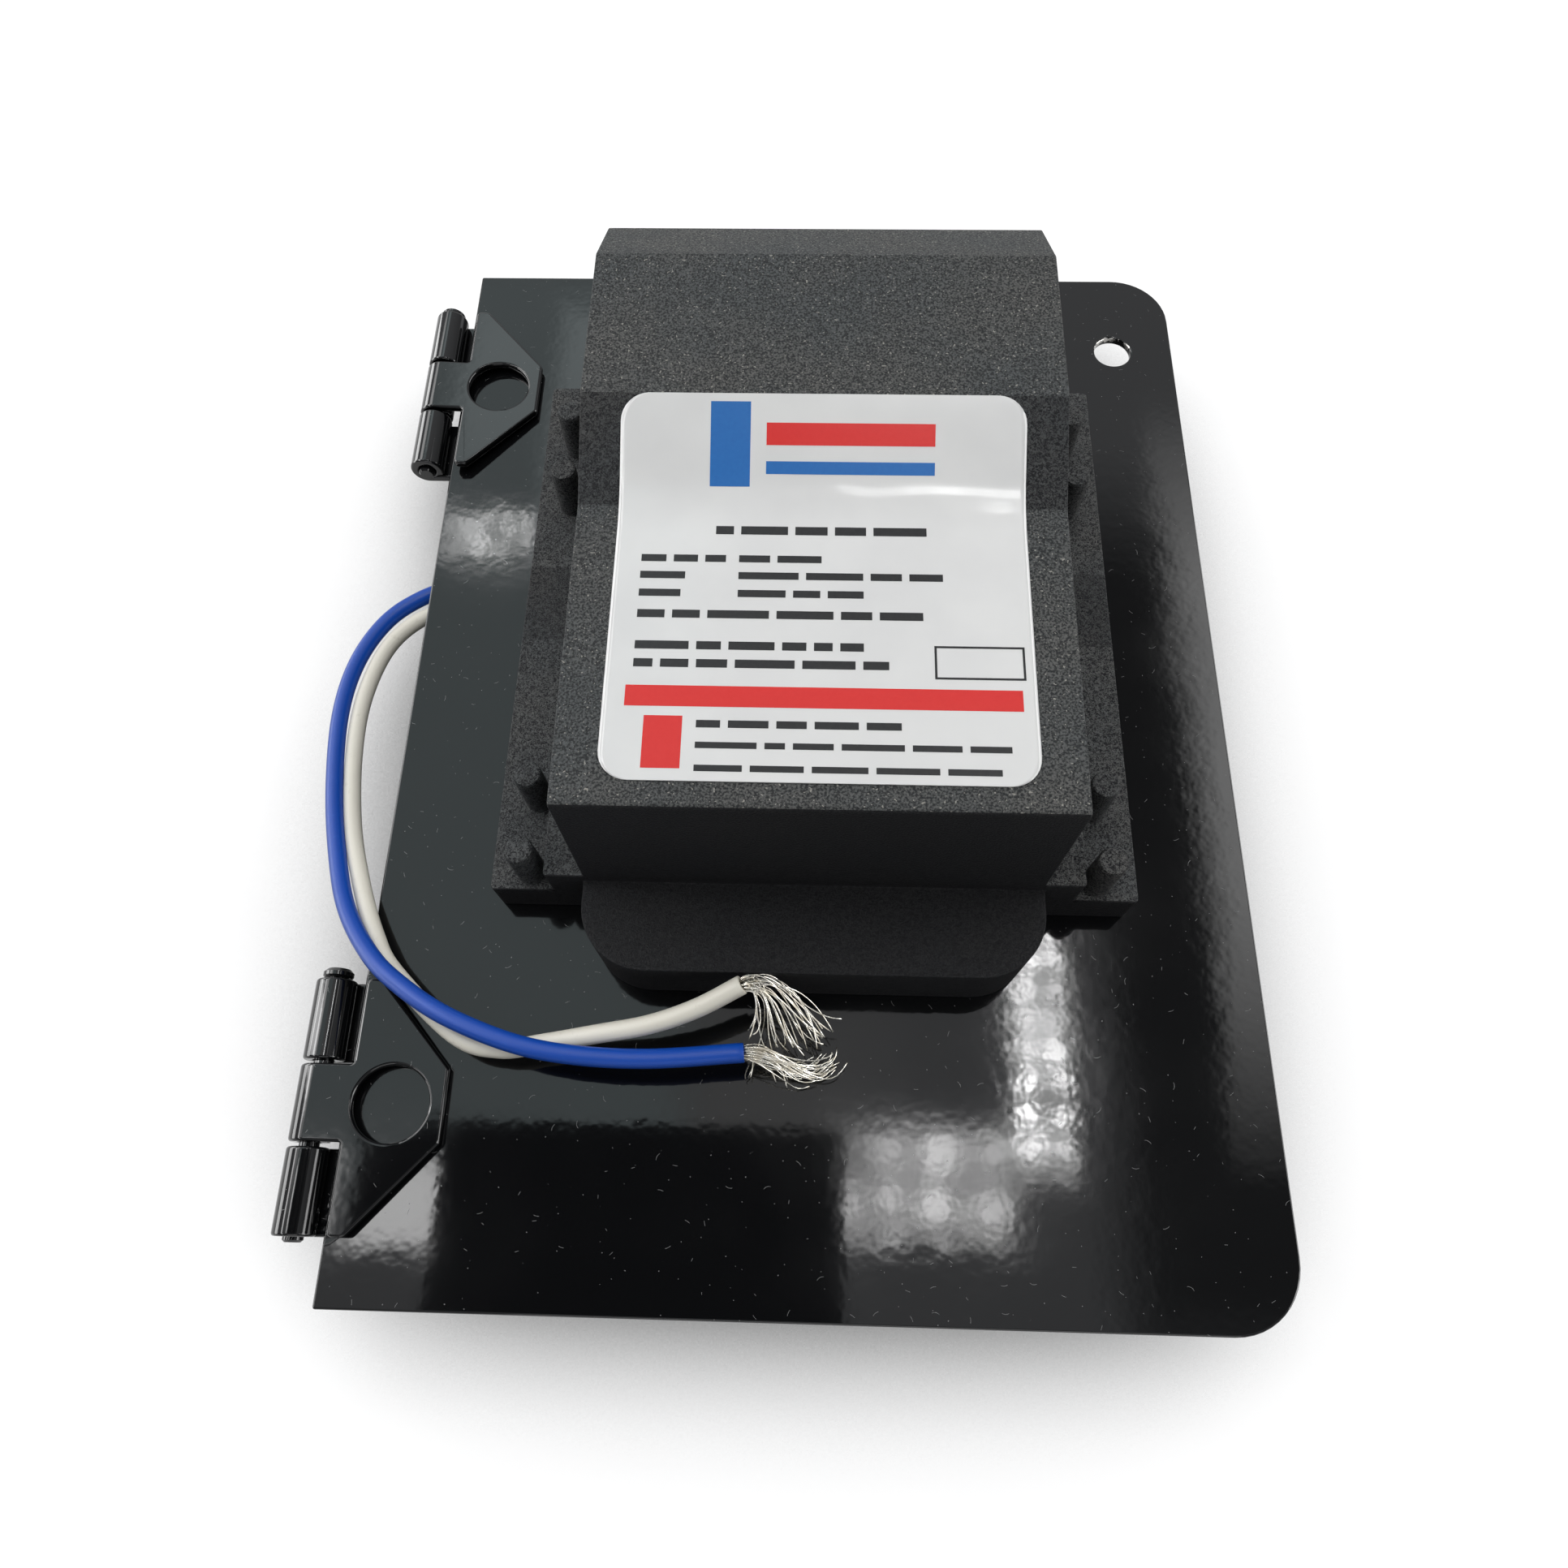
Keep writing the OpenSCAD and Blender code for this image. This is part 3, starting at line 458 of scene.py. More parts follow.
fibres = flecks(paint, 3.6 * MM, 0.5 * MM, 0.024 * MM, 0.5, 0.0)
specks = flecks(paint, 2.4 * MM, 0.08 * MM, 0.055 * MM, 0.35, 0.013)
upright = paint.split(paint.add("NewGeometry").outputs["Normal"])[2]
dust = paint.maths("MULTIPLY", paint.maths("MAXIMUM", fibres, specks), paint.span(upright, 0.85, 0.95))
haze = paint.span(paint.noise(18 * MM, detail=3), 0.35, 0.75, 0.05, 0.1)
hole = plate_middle + Vector((53, 71.5, 0)) * MM
from_hole = paint.vector("LENGTH", paint.vector("SUBTRACT", paint.place, tuple(hole)))
chips = paint.maths("MULTIPLY", paint.noise(1.1 * MM, detail=3), 1.5 * MM)
near_hole = paint.maths("LESS_THAN", paint.maths("ADD", from_hole, chips), 4.0 * MM)
bare = paint.maths("MULTIPLY", near_hole, paint.maths("GREATER_THAN", y, 142 * MM))
dirty = paint.mix(dust, (0.0035, 0.0037, 0.0042), (0.15, 0.15, 0.15))
paint.set("Base Color", paint.mix(bare, dirty, (0.42, 0.41, 0.39)))
paint.set("Metallic", bare)
worn = paint.maths("MAXIMUM", dust, bare)
paint.set("Roughness", paint.maths("ADD", haze, paint.maths("MULTIPLY", worn, 0.3)))
under = paint.bump(swell, 0.02 * MM)
under = paint.bump(peel, 0.0075 * MM, under)
paint.bump(runs, 0.035 * MM, under)
dress(
    ["base_plate", "front_fixed_leaf", "front_free_leaf", "front_hinge_pin", "rear_fixed_leaf",
     "rear_free_leaf", "rear_hinge_pin"],
    paint,
)
print("paint nodes:", len(paint.tree.nodes))

# %% [markdown]
# ## Grained case plastic
#
# The case is one glass-filled moulding, almost black. Its tool was spark-eroded, so the tall block has a
# fine sandy grain with pale sparkles painted into its colour as painted highlights, while the flange, ledge,
# slope and pod have a coarser wrinkled grain like leather. One material holds both, and a mask by place
# chooses between them. Painted shade darkens the front faces and the slope.

# %% Mix the case plastic
def case_finish():
    plastic = Finish("grained_case_plastic", (0.045, 0.045, 0.046), 0.6, specular=0.12)
    x, y, z = plastic.split(plastic.place)
    low = plastic.maths("LESS_THAN", z, plate_high.z + 20 * MM)
    on_slope = plastic.maths("MULTIPLY", plastic.maths("GREATER_THAN", y, 6.4 * MM),
                             plastic.maths("LESS_THAN", y, 19.3 * MM))
    coarse = plastic.maths("MAXIMUM", low, on_slope)
    sand = plastic.noise(0.27 * MM, detail=2, rough=0.6)
    worms = plastic.noise(0.4 * MM, detail=2, rough=0.6, warp=1.6)
    height = plastic.maths("ADD", plastic.maths("MULTIPLY", sand, plastic.maths("SUBTRACT", 1, coarse)),
                           plastic.maths("MULTIPLY", worms, coarse))
    plastic.bump(height, 0.22 * MM)
    cloud = plastic.span(plastic.noise(14 * MM, detail=4), 0.35, 0.7)
    pit = plastic.mix(coarse, (0.022, 0.024, 0.025), (0.009, 0.009, 0.011))
    peak = plastic.mix(cloud, (0.094, 0.101, 0.102), (0.122, 0.121, 0.115))
    body = plastic.mix(plastic.span(height, 0.41, 0.6), pit, peak)
    # Painted shade: the colour is darkened on the front faces and pod, in front of y = -33.8 mm, and on the slope.
    front = plastic.maths("LESS_THAN", y, -33.8 * MM)
    painted_shade = plastic.maths("MAXIMUM", plastic.maths("MULTIPLY", front, 0.88), plastic.maths("MULTIPLY", on_slope, 0.4))
    body = plastic.mix(painted_shade, body, (0.006, 0.006, 0.0075))
    # Painted highlight: pale glints on the tall block's tops, kept off the front faces and the coarse grain.
    sparkle = plastic.span(plastic.noise(0.3 * MM, detail=0), 0.76, 0.79)
    painted_glint = plastic.maths("MULTIPLY", sparkle, plastic.maths("SUBTRACT", 1, plastic.maths("MAXIMUM", front, coarse)))
    plastic.set("Base Color", plastic.mix(painted_glint, body, (0.3, 0.29, 0.26)))
    return plastic


case_plastic = case_finish()
dress(["case"], case_plastic)
print("case plastic nodes:", len(case_plastic.tree.nodes))

# %% [markdown]
# ## Vinyl and tinned copper
#
# The insulation is soft vinyl with a satin shine, drawn lengthwise through a die, so its faint marks run
# along the lead. The strands are copper dipped in tin: bright, a little dull and yellowish in places.

# %% Mix the vinyls and the tinned wire
def vinyl_finish(name, colour, worn, roughness):
    vinyl = Finish(name, colour, roughness, specular=0.3)
    along = vinyl.add("UVMap", uv_map="along_lead").outputs[0]
    drawn = vinyl.vector("MULTIPLY", along, (0.06, 1, 1))
    streaks = vinyl.add("TexNoise", {"Vector": drawn, "Scale": 14, "Detail": 3}).outputs["Fac"]
    scuffs = vinyl.span(vinyl.noise(1.6 * MM, detail=4, rough=0.7), 0.6, 0.72)
    vinyl.set("Base Color", vinyl.mix(vinyl.maths("MULTIPLY", scuffs, 0.5), colour, worn))
    vinyl.set("Roughness", vinyl.span(streaks, 0.3, 0.7, roughness - 0.07, roughness + 0.08))
    vinyl.bump(streaks, 0.02 * MM)
    return vinyl


def wire_finish():
    wire = Finish("tinned_wire", (0.8, 0.78, 0.72), 0.25, metallic=1.0)
    stain = wire.span(wire.noise(1.3 * MM, detail=3), 0.4, 0.65)
    wire.set("Base Color", wire.mix(stain, (0.88, 0.86, 0.8), (0.62, 0.57, 0.47)))
    wire.set("Roughness", wire.span(stain, 0, 1, 0.2, 0.38))
    return wire


blue_vinyl = vinyl_finish("blue_vinyl", (0.003, 0.066, 0.42), (0.01, 0.1, 0.5), 0.36)
white_vinyl = vinyl_finish("white_vinyl", (0.8, 0.77, 0.67), (0.64, 0.6, 0.5), 0.46)
tinned_wire = wire_finish()
dress([blue_insulation], blue_vinyl)
dress([white_insulation], white_vinyl)
dress([blue_wires, white_wires], tinned_wire)
print("lead finishes:", blue_vinyl.material.name, white_vinyl.material.name, tinned_wire.material.name)

# %% [markdown]
# ## The label's film
#
# The label is a glossy white film. It lies on the low part of the block's top, bridges the hollow corner
# and climbs the slope. Its mesh is a grid: rays cast down on the case give each row's height, a soft average
# rounds the corner as stiff film would, and the row's width shrinks at both ends to round the corners.

# %% Lay the film on the case
LABEL_R = 3.6 * MM
FILM_T = 0.2 * MM
label_low, label_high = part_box("label")
label_x = (label_low.x + label_high.x) / 2
label_half = (label_high.x - label_low.x) / 2
case_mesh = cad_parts["case"].data
case_tree = BVHTree.FromPolygons([v.co for v in case_mesh.vertices], [p.vertices for p in case_mesh.polygons])


def top_of_case(y):
    hit = case_tree.ray_cast(Vector((label_x + 0.3 * MM, y, 1)), Vector((0, 0, -1)))
    return hit[0].z


def film_profile(rows, bridge):
    """Rows along the film: Y, height and run, with the hollow corner bridged."""
    ys = np.linspace(label_low.y, label_high.y, rows)
    raw = np.array([[top_of_case(y + d) for d in np.linspace(-bridge, bridge, 9)] for y in ys])
    heights = np.maximum(raw.mean(axis=1), raw[:, 4])
    heights[0], heights[-1] = raw[0, 4], raw[-1, 4]
    run = np.concatenate([[0], np.cumsum(np.hypot(np.diff(ys), np.diff(heights)))])
    return ys, heights, run


film_y, film_z, film_run = film_profile(140, 3.0 * MM)
film_length = film_run[-1]


def on_film(x, run, lift):
    """The point of the film's top at a distance from its middle line and along its run."""
    y = np.interp(run, film_run, film_y)
    z = np.interp(run, film_run, film_z)
    ripple = 0.035 * MM * math.sin(x / (1.9 * MM) + 1.3 * math.sin(x / (5 * MM)))
    crease = math.exp(-(((run - crease_run) / (2.6 * MM)) ** 2))
    return (label_x + x, y, z + FILM_T + lift + ripple * crease)


def film_half_width(run):
    """Half the film's width at a distance along its run, less at the round corners."""
    inset = min(run, film_length - run)
    if inset >= LABEL_R:
        return label_half
    return label_half - LABEL_R + math.sqrt(max(0.0, LABEL_R**2 - (LABEL_R - inset) ** 2))


slope = np.gradient(film_z, film_y)
crease_run = float(film_run[int(np.argmax(np.gradient(slope)))])
print("film:", round(2 * label_half / MM, 1), "x", round(film_length / MM, 1), "mm, crease at",
      round(crease_run / MM, 1), "mm")


# %% Build the film
def film_grid(columns):
    near = [LABEL_R * (1 - math.cos(math.pi / 2 * i / 8)) for i in range(8)]
    inner = list(np.linspace(LABEL_R, film_length - LABEL_R, 110))
    runs = near + inner + [film_length - n for n in reversed(near)]
    top, bottom = [], []
    for run in runs:
        half = max(film_half_width(run), 0.2 * MM)
        for c in range(columns + 1):
            point = on_film(half * (2 * c / columns - 1), run, 0.0)
            top.append(point)
            bottom.append((point[0], point[1], point[2] - FILM_T * 0.9))
    wide = columns + 1
    count = len(runs)
    faces = []
    for r in range(count - 1):
        for c in range(columns):
            a = r * wide + c
            faces.append((a, a + 1, a + wide + 1, a + wide))
    under = [tuple(v + count * wide for v in reversed(face)) for face in faces]
    rim = [c for c in range(wide)] + [r * wide + columns for r in range(1, count)]
    rim += [(count - 1) * wide + c for c in range(columns - 1, -1, -1)]
    rim += [r * wide for r in range(count - 2, 0, -1)]
    sides = []
    for a, b in zip(rim, rim[1:] + rim[:1]):
        sides.append((b, a, a + count * wide, b + count * wide))
    return top + bottom, faces + under + sides


label_film = new_piece("label_film", *film_grid(72))
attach(label_film, "igniter")
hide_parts("label")
film_white = Finish("label_film", (0.76, 0.76, 0.745), 0.1)
tone = film_white.span(film_white.noise(11 * MM, detail=3), 0.35, 0.7)
film_white.set("Base Color", film_white.mix(tone, (0.78, 0.78, 0.765), (0.73, 0.73, 0.72)))
film_white.bump(film_white.noise(5 * MM, detail=1), 0.012 * MM)
dress([label_film], film_white)
print("film faces:", len(label_film.data.polygons))

# %% [markdown]
# ## Plain print on the label
#
# A rating label is mostly rows of small dark print, with a coloured band and a coloured block. Here they
# are plain bars and fields, with no words. Each is a very thin strip of ink that follows the film, so its
# edge is crisp from any distance. Rows of short bars of random length read as printed rows from a step away.

# %% Lay the ink on the film
INK_T = 0.02 * MM


def ink_strip(x0, x1, run0, run1):
    """Points and faces of one flat field of ink that follows the film."""
    columns = max(1, int((x1 - x0) / (1.2 * MM)))
    rows = max(1, int((run1 - run0) / (0.8 * MM)))
    points = [
        on_film(x0 + (x1 - x0) * c / columns, run0 + (run1 - run0) * r / rows, INK_T)
        for r in range(rows + 1) for c in range(columns + 1)
    ]
    wide = columns + 1
    faces = [
        (r * wide + c, r * wide + c + 1, (r + 1) * wide + c + 1, (r + 1) * wide + c)
        for r in range(rows) for c in range(columns)
    ]
    return points, faces


def ink_piece(name, fields, finish):
    """One piece of ink from a list of fields: left, right, front and back, in millimetres on the film."""
    points, faces = [], []
    for field in fields:
        strip_points, strip_faces = ink_strip(*[edge * MM for edge in field])
        faces += [tuple(len(points) + v for v in face) for face in strip_faces]
        points += strip_points
    piece = new_piece(name, points, faces)
    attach(piece, "igniter")
    dress([piece], finish)
    return piece


def word_row(left, right, front, height, chance):
    """A row of short bars of random length, like a printed row seen from a step away."""
    fields, x = [], left
    while x < right - 1.5:
        wide = min(chance.uniform(2.2, 7.5), right - x)
        fields.append((x, x + wide, front, front + height))
        x += wide + 0.9
    return fields


print("ink thickness:", INK_T / MM, "mm")

# %% Print the rows and the fields
row_chance = random.Random(5)
dark_rows = []
for left, right, front, height in (
    (-14.2, 23, 1.2, 0.8), (-14.2, 22, 4.05, 0.8), (-14.2, 9.5, 6.65, 0.95),
    (-22, 10.5, 14.4, 1.1), (-22, 5.2, 16.8, 1.1), (-22, 12.3, 21.05, 1.1),
    (-22, -16.5, 24.0, 1.0), (-10, 5.2, 24.0, 1.0), (-22, -16.5, 26.5, 1.0), (-10, 14.8, 26.5, 1.0),
    (-22, -11, 28.9, 1.0), (-10, 1.8, 28.9, 1.0), (-13, 13, 32.9, 1.2),
):
    dark_rows += word_row(left, right, front, height, row_chance)
box_left, box_right, box_front, box_back, line = 13.5, 24.1, 13.3, 17.7, 0.28
dark_rows += [
    (box_left, box_right, box_front, box_front + line), (box_left, box_right, box_back - line, box_back),
    (box_left, box_left + line, box_front + line, box_back - line),
    (box_right - line, box_right, box_front + line, box_back - line),
]
ink_black = Finish("black_ink", (0.02, 0.02, 0.022), 0.3, specular=0.3)
ink_red = Finish("red_ink", (0.72, 0.012, 0.01), 0.25, specular=0.3)
ink_blue = Finish("blue_ink", (0.006, 0.13, 0.45), 0.25, specular=0.3)
for ink, full, thin in (
    (ink_black, (0.015, 0.015, 0.017), (0.03, 0.03, 0.03)),
    (ink_red, (0.72, 0.012, 0.01), (0.76, 0.02, 0.016)),
    (ink_blue, (0.006, 0.13, 0.45), (0.01, 0.16, 0.5)),
):
    ink.set("Base Color", ink.mix(ink.noise(0.5 * MM, detail=3), full, thin))
dark_print = ink_piece("dark_print", dark_rows, ink_black)
red_print = ink_piece("red_print", [(-22.7, 23.6, 9.3, 12.0), (-20.3, -15.8, 1.5, 8.1), (-7, 14, 44.6, 47.4)], ink_red)
blue_print = ink_piece("blue_print", [(-14, -9, 39.4, 50), (-7, 14, 41, 42.6)], ink_blue)
print("ink faces:", [len(p.data.polygons) for p in (dark_print, red_print, blue_print)])

# %% [markdown]
# ## Soft edges on sheet metal and mouldings
#
# No painted sheet or moulding has a sharp edge: paint builds a round bead there, and the bead catches a thin
# line of light. The solids keep their sharp edges, so each big piece gets a copy whose edges are bevelled.
# Flat triangles are dissolved first, since a bevel can't pass the thin ones. A weighted normal modifier
# keeps the flats flat in the shading, so only the narrow bevel turns.

# %% Copy the big pieces with round edges
def rounded_copy(node, name, body, width, finish):
    """A copy of a CAD node with its sharp edges rounded. It stands for the node."""
    form = bmesh.new()
    form.from_mesh(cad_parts[node].data)
    bmesh.ops.remove_doubles(form, verts=form.verts, dist=0.002 * MM)
    bmesh.ops.dissolve_limit(form, angle_limit=math.radians(0.4), verts=form.verts, edges=form.edges)
    sharp = [e for e in form.edges if len(e.link_faces) == 2 and e.calc_face_angle(0) > math.radians(32)]
    bmesh.ops.bevel(form, geom=sharp, offset=width, offset_type="OFFSET", segments=3, profile=0.5,
                    affect="EDGES", miter_outer="ARC", loop_slide=True)
    mesh = bpy.data.meshes.new(name)
    form.to_mesh(mesh)
    form.free()
    for face in mesh.polygons:
        face.use_smooth = True
    piece = bpy.data.objects.new(name, mesh)
    bpy.context.scene.collection.objects.link(piece)
    weighted = piece.modifiers.new("flat_faces", "WEIGHTED_NORMAL")
    weighted.weight = 100
    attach(piece, body)
    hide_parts(node)
    dress([piece], finish)
    return piece


round_pieces = [
    rounded_copy(node, name, body, width * MM, finish)
    for node, name, body, slot, width, finish in (
        ("base_plate", "painted_plate", "igniter", "black_paint", 0.35, paint),
        ("front_fixed_leaf", "front_fixed_sheet", "igniter", "black_paint", 0.4, paint),
        ("rear_fixed_leaf", "rear_fixed_sheet", "igniter", "black_paint", 0.4, paint),
        ("front_free_leaf", "front_free_sheet", "front_leaf", "black_paint", 0.45, paint),
        ("rear_free_leaf", "rear_free_sheet", "rear_leaf", "black_paint", 0.45, paint),
        ("case", "moulded_case", "igniter", "case_plastic", 0.22, case_plastic),
    )
]
print("rounded:", {piece.name: len(piece.data.polygons) for piece in round_pieces})

# %% [markdown]
# ## The hidden side and the inside
#
# Under the plate are two glazed bushings with brass contacts, zinc screws, a green ground screw and the
# leads' grommet. Inside, cast in black resin, are the circuit and the high voltage windings. Each gets the
# finish of its own stuff. They share one recipe: a base colour that drifts a little, and a fine grain.

# %% Finishes for the small parts
def stuff(name, colour, drift, roughness, grain, depth, metallic=0.0):
    """A plain stuff: its colour drifts towards another, and a grain roughens it."""
    finish = Finish(name, colour, roughness, metallic)
    wander = finish.span(finish.noise(6 * MM, detail=4), 0.35, 0.68)
    finish.set("Base Color", finish.mix(wander, colour, drift))
    fine = finish.noise(grain, detail=3)
    finish.set("Roughness", finish.span(fine, 0.3, 0.7, roughness - 0.05, roughness + 0.06))
    finish.bump(fine, depth)
    return finish


def winding_finish():
    """Enamelled wire wound round the X axis: ridges a wire apart, with painted glints and shade between amber and
    copper.
    """
    copper = Finish("enamelled_copper", (0.45, 0.17, 0.05), 0.3, metallic=0.8)
    turns = copper.add("TexWave", {"Vector": copper.place, "Scale": 1 / (0.3 * MM) / 2, "Distortion": 0.6},
                       bands_direction="X").outputs["Fac"]
    # Painted highlights and shade: the colour is brighter on each turn's ridge and darker between turns.
    copper.set("Base Color", copper.mix(turns, (0.22, 0.07, 0.02), (0.52, 0.2, 0.06)))
    copper.bump(turns, 0.08 * MM)
    return copper


glaze = stuff("glazed_bushing", (0.62, 0.58, 0.5), (0.55, 0.5, 0.41), 0.18, 1.5 * MM, 0.01 * MM)
brass = stuff("turned_brass", (0.62, 0.42, 0.15), (0.5, 0.32, 0.11), 0.28, 0.15 * MM, 0.01 * MM, metallic=1.0)
zinc = stuff("zinc_plate", (0.6, 0.6, 0.58), (0.5, 0.5, 0.46), 0.33, 0.3 * MM, 0.008 * MM, metallic=1.0)
green = stuff("green_plate", (0.03, 0.2, 0.08), (0.02, 0.13, 0.06), 0.35, 0.3 * MM, 0.01 * MM, metallic=0.6)
nylon = stuff("black_nylon", (0.012, 0.012, 0.014), (0.02, 0.02, 0.021), 0.45, 0.4 * MM, 0.02 * MM)
resin = stuff("cast_resin", (0.012, 0.0115, 0.011), (0.022, 0.02, 0.019), 0.3, 1.0 * MM, 0.04 * MM)
board = stuff("board_laminate", (0.02, 0.13, 0.05), (0.03, 0.17, 0.06), 0.4, 0.5 * MM, 0.02 * MM)
sleeve = stuff("capacitor_sleeve", (0.015, 0.025, 0.08), (0.02, 0.04, 0.11), 0.3, 0.8 * MM, 0.01 * MM)
dipped = stuff("dipped_film", (0.33, 0.03, 0.02), (0.26, 0.02, 0.02), 0.25, 1.2 * MM, 0.05 * MM)
epoxy = stuff("moulded_epoxy", (0.012, 0.012, 0.013), (0.02, 0.02, 0.02), 0.5, 0.15 * MM, 0.02 * MM)
alloy = stuff("rolled_aluminium", (0.7, 0.7, 0.71), (0.6, 0.6, 0.61), 0.36, 0.25 * MM, 0.01 * MM, metallic=1.0)
ferrite = stuff("ground_ferrite", (0.04, 0.04, 0.044), (0.06, 0.06, 0.062), 0.42, 0.2 * MM, 0.02 * MM)
bobbin = stuff("natural_nylon", (0.66, 0.62, 0.5), (0.6, 0.55, 0.43), 0.42, 0.6 * MM, 0.015 * MM)
copper = winding_finish()
for finish, nodes in (
    (glaze, ["left_bushing", "right_bushing"]), (brass, ["left_contact", "right_contact", "ground_insert"]),
    (zinc, ["case_screws"]), (green, ["ground_screw"]), (nylon, ["lead_grommet"]), (resin, ["potting"]),
    (board, ["circuit_board"]), (sleeve, ["filter_capacitor"]), (dipped, ["resonant_capacitor"]),
    (epoxy, ["rectifier", "power_transistor"]), (alloy, ["heat_sink"]), (ferrite, ["ferrite_core"]),
    (bobbin, ["primary_bobbin", "secondary_bobbin"]),
    (copper, ["primary_coil", "secondary_coils", "line_choke"]),
):
    dress(nodes, finish)
bare = [name for name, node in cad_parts.items() if not node.data.materials]
print("materials:", len(bpy.data.materials), "nodes without one:", bare)

# %% [markdown]
# ## Floor, sky and lamps
#
# The photo was cut out on white, with a soft shadow. The floor is white where the camera, a mirror or glass
# sees it, and dull to the light that bounces, as the real dark bench was, so that the case's sides stay
# deep. Its soft shadow round the object is painted shadow, drawn from ambient occlusion into its colour and
# glow. The sky is bright above and dim at the horizon. One broad lamp, high up behind the part, casts the
# real shadows.

# %% Build the studio
scene = bpy.context.scene
scene.view_settings.view_transform = "Standard"


def white_floor():
    look = Finish("white_floor", (0.8, 0.8, 0.8), 0.9)
    path = look.add("LightPath").outputs
    seen = look.maths("MAXIMUM", look.maths("MAXIMUM", path["Is Camera Ray"], path["Is Glossy Ray"]),
                      path["Is Transmission Ray"])
    # Painted shadow: an ambient occlusion node darkens the floor's colour and glow near the object.
    open_sky = look.add("AmbientOcclusion", {"Distance": 70 * MM}, samples=8).outputs["AO"]
    painted_shade = look.span(open_sky, 0.42, 0.9, 0.06, 1.0)
    dull = look.add("BsdfDiffuse", {"Color": (0.12, 0.12, 0.12, 1)})
    matt = look.add("BsdfDiffuse", {"Color": look.mix(painted_shade, (0, 0, 0), (0.25, 0.25, 0.25))})
    glow = look.add("Emission", {"Strength": look.maths("MULTIPLY", painted_shade, 0.86)})
    white = look.add("AddShader", {0: matt.outputs[0], 1: glow.outputs[0]})
    choice = look.add("MixShader", {0: seen, 1: dull.outputs[0], 2: white.outputs[0]})
    look.tree.nodes.remove(look.shader)
    look.tree.links.new(choice.outputs[0], look.tree.nodes["Material Output"].inputs["Surface"])
    return look.material


half = 1.6
floor = new_piece("studio_floor", [(-half, -half, 0), (half, -half, 0), (half, half, 0), (-half, half, 0)],
                  [(0, 1, 2, 3)], smooth=False)
floor.data.materials.append(white_floor())

sky = bpy.data.worlds.new("studio_sky")
sky.use_nodes = True
scene.world = sky
ground = sky.node_tree.nodes["Background"]
coordinates = sky.node_tree.nodes.new("ShaderNodeTexCoord")
towards = sky.node_tree.nodes.new("ShaderNodeVectorMath")
towards.operation = "DOT_PRODUCT"
towards.inputs[1].default_value = (-0.1, 0.4, 0.9)
dusk = sky.node_tree.nodes.new("ShaderNodeMapRange")
for socket, value in zip(list(dusk.inputs)[1:5], (-0.1, 0.95, 0.05, 0.74)):
    socket.default_value = value
sky.node_tree.links.new(coordinates.outputs["Generated"], towards.inputs[0])
sky.node_tree.links.new(towards.outputs["Value"], dusk.inputs[0])
path = sky.node_tree.nodes.new("ShaderNodeLightPath")
seen = sky.node_tree.nodes.new("ShaderNodeMath")
seen.operation = "MAXIMUM"
sky.node_tree.links.new(path.outputs["Is Camera Ray"], seen.inputs[0])
sky.node_tree.links.new(path.outputs["Is Transmission Ray"], seen.inputs[1])
height = sky.node_tree.nodes.new("ShaderNodeSeparateXYZ")
sky.node_tree.links.new(coordinates.outputs["Generated"], height.inputs[0])
backdrop = sky.node_tree.nodes.new("ShaderNodeMapRange")
for socket, value in zip(list(backdrop.inputs)[1:5], (0.1, 0.28, 1.0, 0.0)):
    socket.default_value = value
sky.node_tree.links.new(height.outputs[2], backdrop.inputs[0])
mirrored = sky.node_tree.nodes.new("ShaderNodeMath")
mirrored.operation = "MULTIPLY"
sky.node_tree.links.new(path.outputs["Is Glossy Ray"], mirrored.inputs[0])
sky.node_tree.links.new(backdrop.outputs[0], mirrored.inputs[1])
for other, first in ((mirrored, seen), (dusk, None)):
    brighter = sky.node_tree.nodes.new("ShaderNodeMath")
    brighter.operation = "MAXIMUM"
    sky.node_tree.links.new((first or last).outputs[0], brighter.inputs[0])
    sky.node_tree.links.new(other.outputs[0], brighter.inputs[1])
    last = brighter
sky.node_tree.links.new(last.outputs[0], ground.inputs["Strength"])
ground.inputs["Color"].default_value = (0.96, 0.975, 1.0, 1)


def lamp(name, place, aim, width, height, power):
    data = bpy.data.lights.new(name, "AREA")
    data.shape = "RECTANGLE"
    data.size = width
    data.size_y = height
    data.energy = power
    light = bpy.data.objects.new(name, data)
    light.location = place
    light.rotation_euler = (Vector(aim) - Vector(place)).to_track_quat("-Z", "Y").to_euler()
    scene.collection.objects.link(light)
    return light


window = lamp("window_lamp", (0.0, 0.4, 1.4), (0, 0, 0.02), 1.0, 0.8, 7.3)
window.visible_glossy = False
left_lamp = lamp("left_lamp", (-1.1, 0.15, 0.8), (0, 0, 0.02), 0.12, 0.9, 2.5)
right_lamp = lamp("right_lamp", (1.15, -0.35, 0.6), (0, 0, 0.02), 0.25, 0.8, 2.5)

# %% [markdown]
# ## What the paint mirrors
#
# Gloss black paint shows the room above it more than its own colour. Straight above the plate hung the dark
# phone, so a dark card hangs at the camera's height, seen only by reflections. Ceiling lamps left bright
# mottled images, so small bright cards hang high up, where each image asks for one.

# %% Hang the cards
EYE_HEIGHT = camera.location.z - plate_high.z


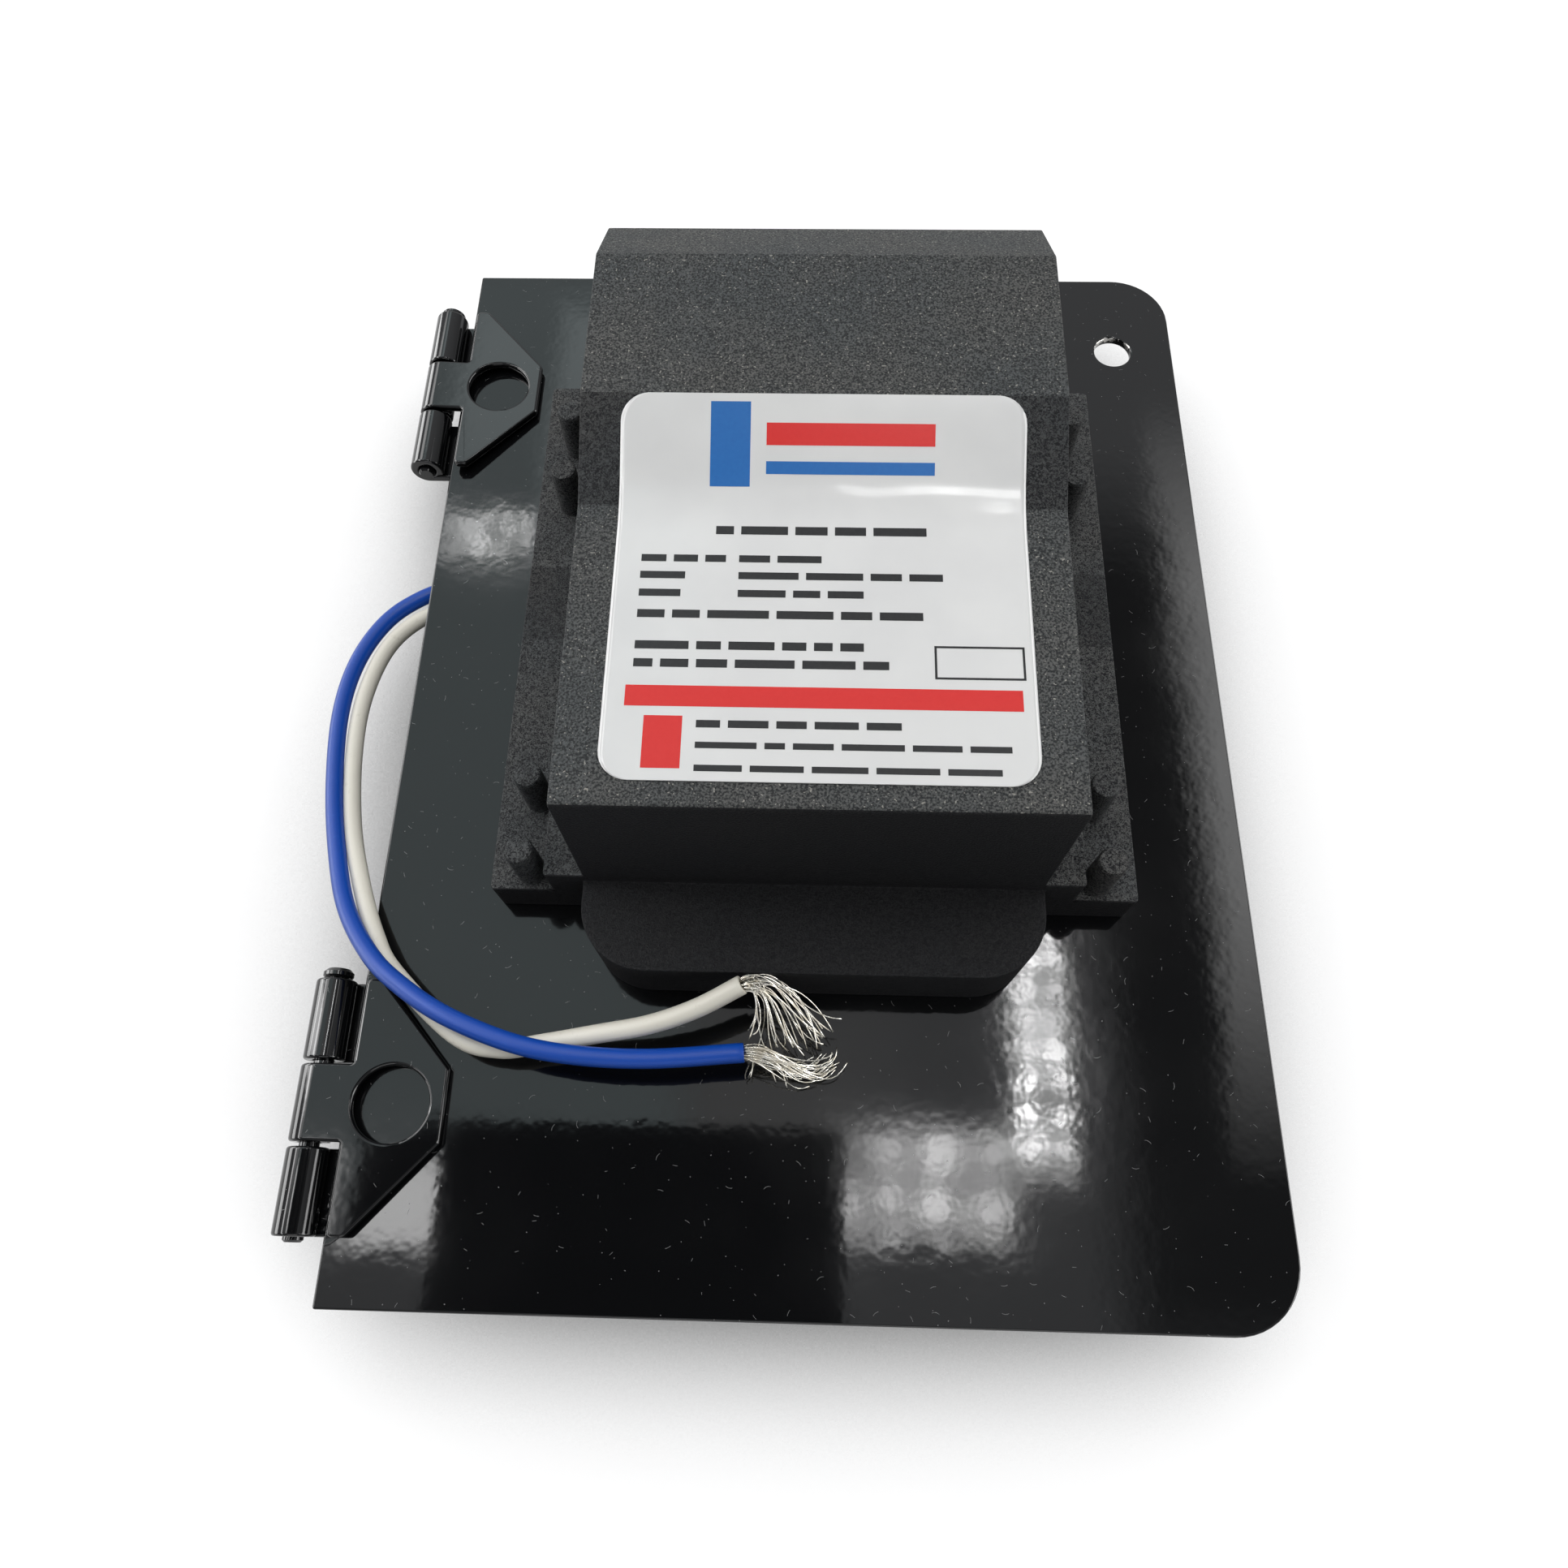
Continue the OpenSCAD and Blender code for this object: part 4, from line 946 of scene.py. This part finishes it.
def card(name, corners, strength, soft=0.0, pitch=0.0, gap=0.05, wander=1.9, tint=(1, 1, 1)):
    """A card that only glossy reflections see. Its edges fade, and a louvre can break it into round cells."""
    piece = new_piece(name, corners, [(0, 1, 2, 3)], smooth=False)
    look = Finish(name, (0, 0, 0), 0.5)
    glow = look.add("Emission", {"Color": (*tint, 1), "Strength": strength})
    clear = look.add("BsdfTransparent")
    x, y, _ = look.split(look.add("TexCoord").outputs["Generated"])
    edge = look.maths("MINIMUM", look.maths("PINGPONG", x, 0.5), look.maths("PINGPONG", y, 0.5))
    share = look.span(edge, 0.0, max(soft, 0.001))
    if pitch:
        drift = look.add("TexNoise", {"Vector": look.place, "Scale": 0.7 / pitch, "Detail": 1.0}).outputs["Color"]
        bent = look.add("VectorMath", {0: drift, 1: (pitch * wander, pitch * wander, 0), 2: look.place},
                        operation="MULTIPLY_ADD").outputs[0]
        across, along, _ = look.split(bent)
        waves = [look.maths("SINE", look.maths("MULTIPLY", way, math.tau / pitch)) for way in (across, along)]
        cell = look.span(look.maths("ADD", *waves), -0.3, 1.5, gap, 1.0)
        grit = look.span(look.noise(pitch * 0.22, detail=2), 0.35, 0.65, 0.45, 1.25)
        share = look.maths("MULTIPLY", look.maths("MULTIPLY", share, cell), grit)
    blend = look.add("MixShader", {0: share, 1: clear.outputs[0], 2: glow.outputs[0]})
    look.tree.nodes.remove(look.shader)
    look.tree.links.new(blend.outputs[0], look.tree.nodes["Material Output"].inputs["Surface"])
    piece.data.materials.append(look.material)
    piece.visible_camera = False
    piece.visible_diffuse = False
    piece.visible_transmission = False
    piece.visible_shadow = False
    return piece


def mirrored_card(name, box, height, strength, soft=0.0, pitch=0.0, **look):
    """A card whose image in the plate, seen by the camera, fills a box given in mm from the plate's middle."""
    x0, x1, y0, y1 = box
    image = Vector((camera.location.x, camera.location.y, 2 * plate_high.z - camera.location.z))
    corners = []
    for x, y in ((x0, y0), (x1, y0), (x1, y1), (x0, y1)):
        point = plate_middle + Vector((x, y, 0)) * MM
        corners.append(point + (point - image) * (height / EYE_HEIGHT))
    return card(name, corners, strength, soft, pitch * (1 + height / EYE_HEIGHT), **look)


def wall(name, middle, width, low, high, strength):
    """An upright card that faces the part, for the thin lines of light along its round edges."""
    out = Vector((middle[0], middle[1], 0)).normalized()
    side = Vector((-out.y, out.x, 0)) * width / 2
    foot = Vector((middle[0], middle[1], low))
    top = Vector((middle[0], middle[1], high))
    return card(name, [foot - side, foot + side, top + side, top - side], strength)


mirrored_card("dark_phone", (-49.5, 5, -100, -64.6), EYE_HEIGHT * 1.02, 0.02)
mirrored_card("ceiling_panel", (0, 28.5, -80, -62.5), 2.0, 21, soft=0.16, pitch=7.0 * MM, gap=0.26, wander=0.7)
mirrored_card("ceiling_strip", (27, 35.6, -71, -28), 2.0, 52, soft=0.1, pitch=4.3 * MM, gap=0.07, wander=1.2)
mirrored_card("far_left_panel", (-64, -46, 25, 36), 1.0, 30, soft=0.2, pitch=3.4 * MM)
mirrored_card("left_glow", (-82, -14, -82, 105), 1.2, 1.1, soft=0.1, tint=(0.86, 1.0, 1.02))
mirrored_card("rear_glow", (-49, -16, 34, 84), 1.1, 2.1, soft=0.14, tint=(0.88, 1.0, 1.02))
mirrored_card("leaf_glow", (-150, -66, -80, 110), 1.25, 4.4, soft=0.15)
mirrored_card("front_glow", (-26, 14, -76, -44), 1.3, 0.9, soft=0.35)
mirrored_card("corner_panel", (-63, -46, -82, -69), 0.6, 9, soft=0.2)
mirrored_card("right_glow", (56, 75, -70, 60), 0.7, 3.1, soft=0.3)
mirrored_card("right_shade", (37, 90, -110, 50), 0.8, 0.1, soft=0.16)
wall("left_wall", (-1.6, 0.3), 2.2, 0.1, 0.7, 7)
wall("left_shelf", (-1.0, -0.1), 1.6, 0.95, 1.2, 9)
wall("right_wall", (1.6, 0.1), 2.0, 0.15, 0.75, 6)
wall("front_wall", (0.2, -1.8), 1.4, 0.7, 1.2, 3)
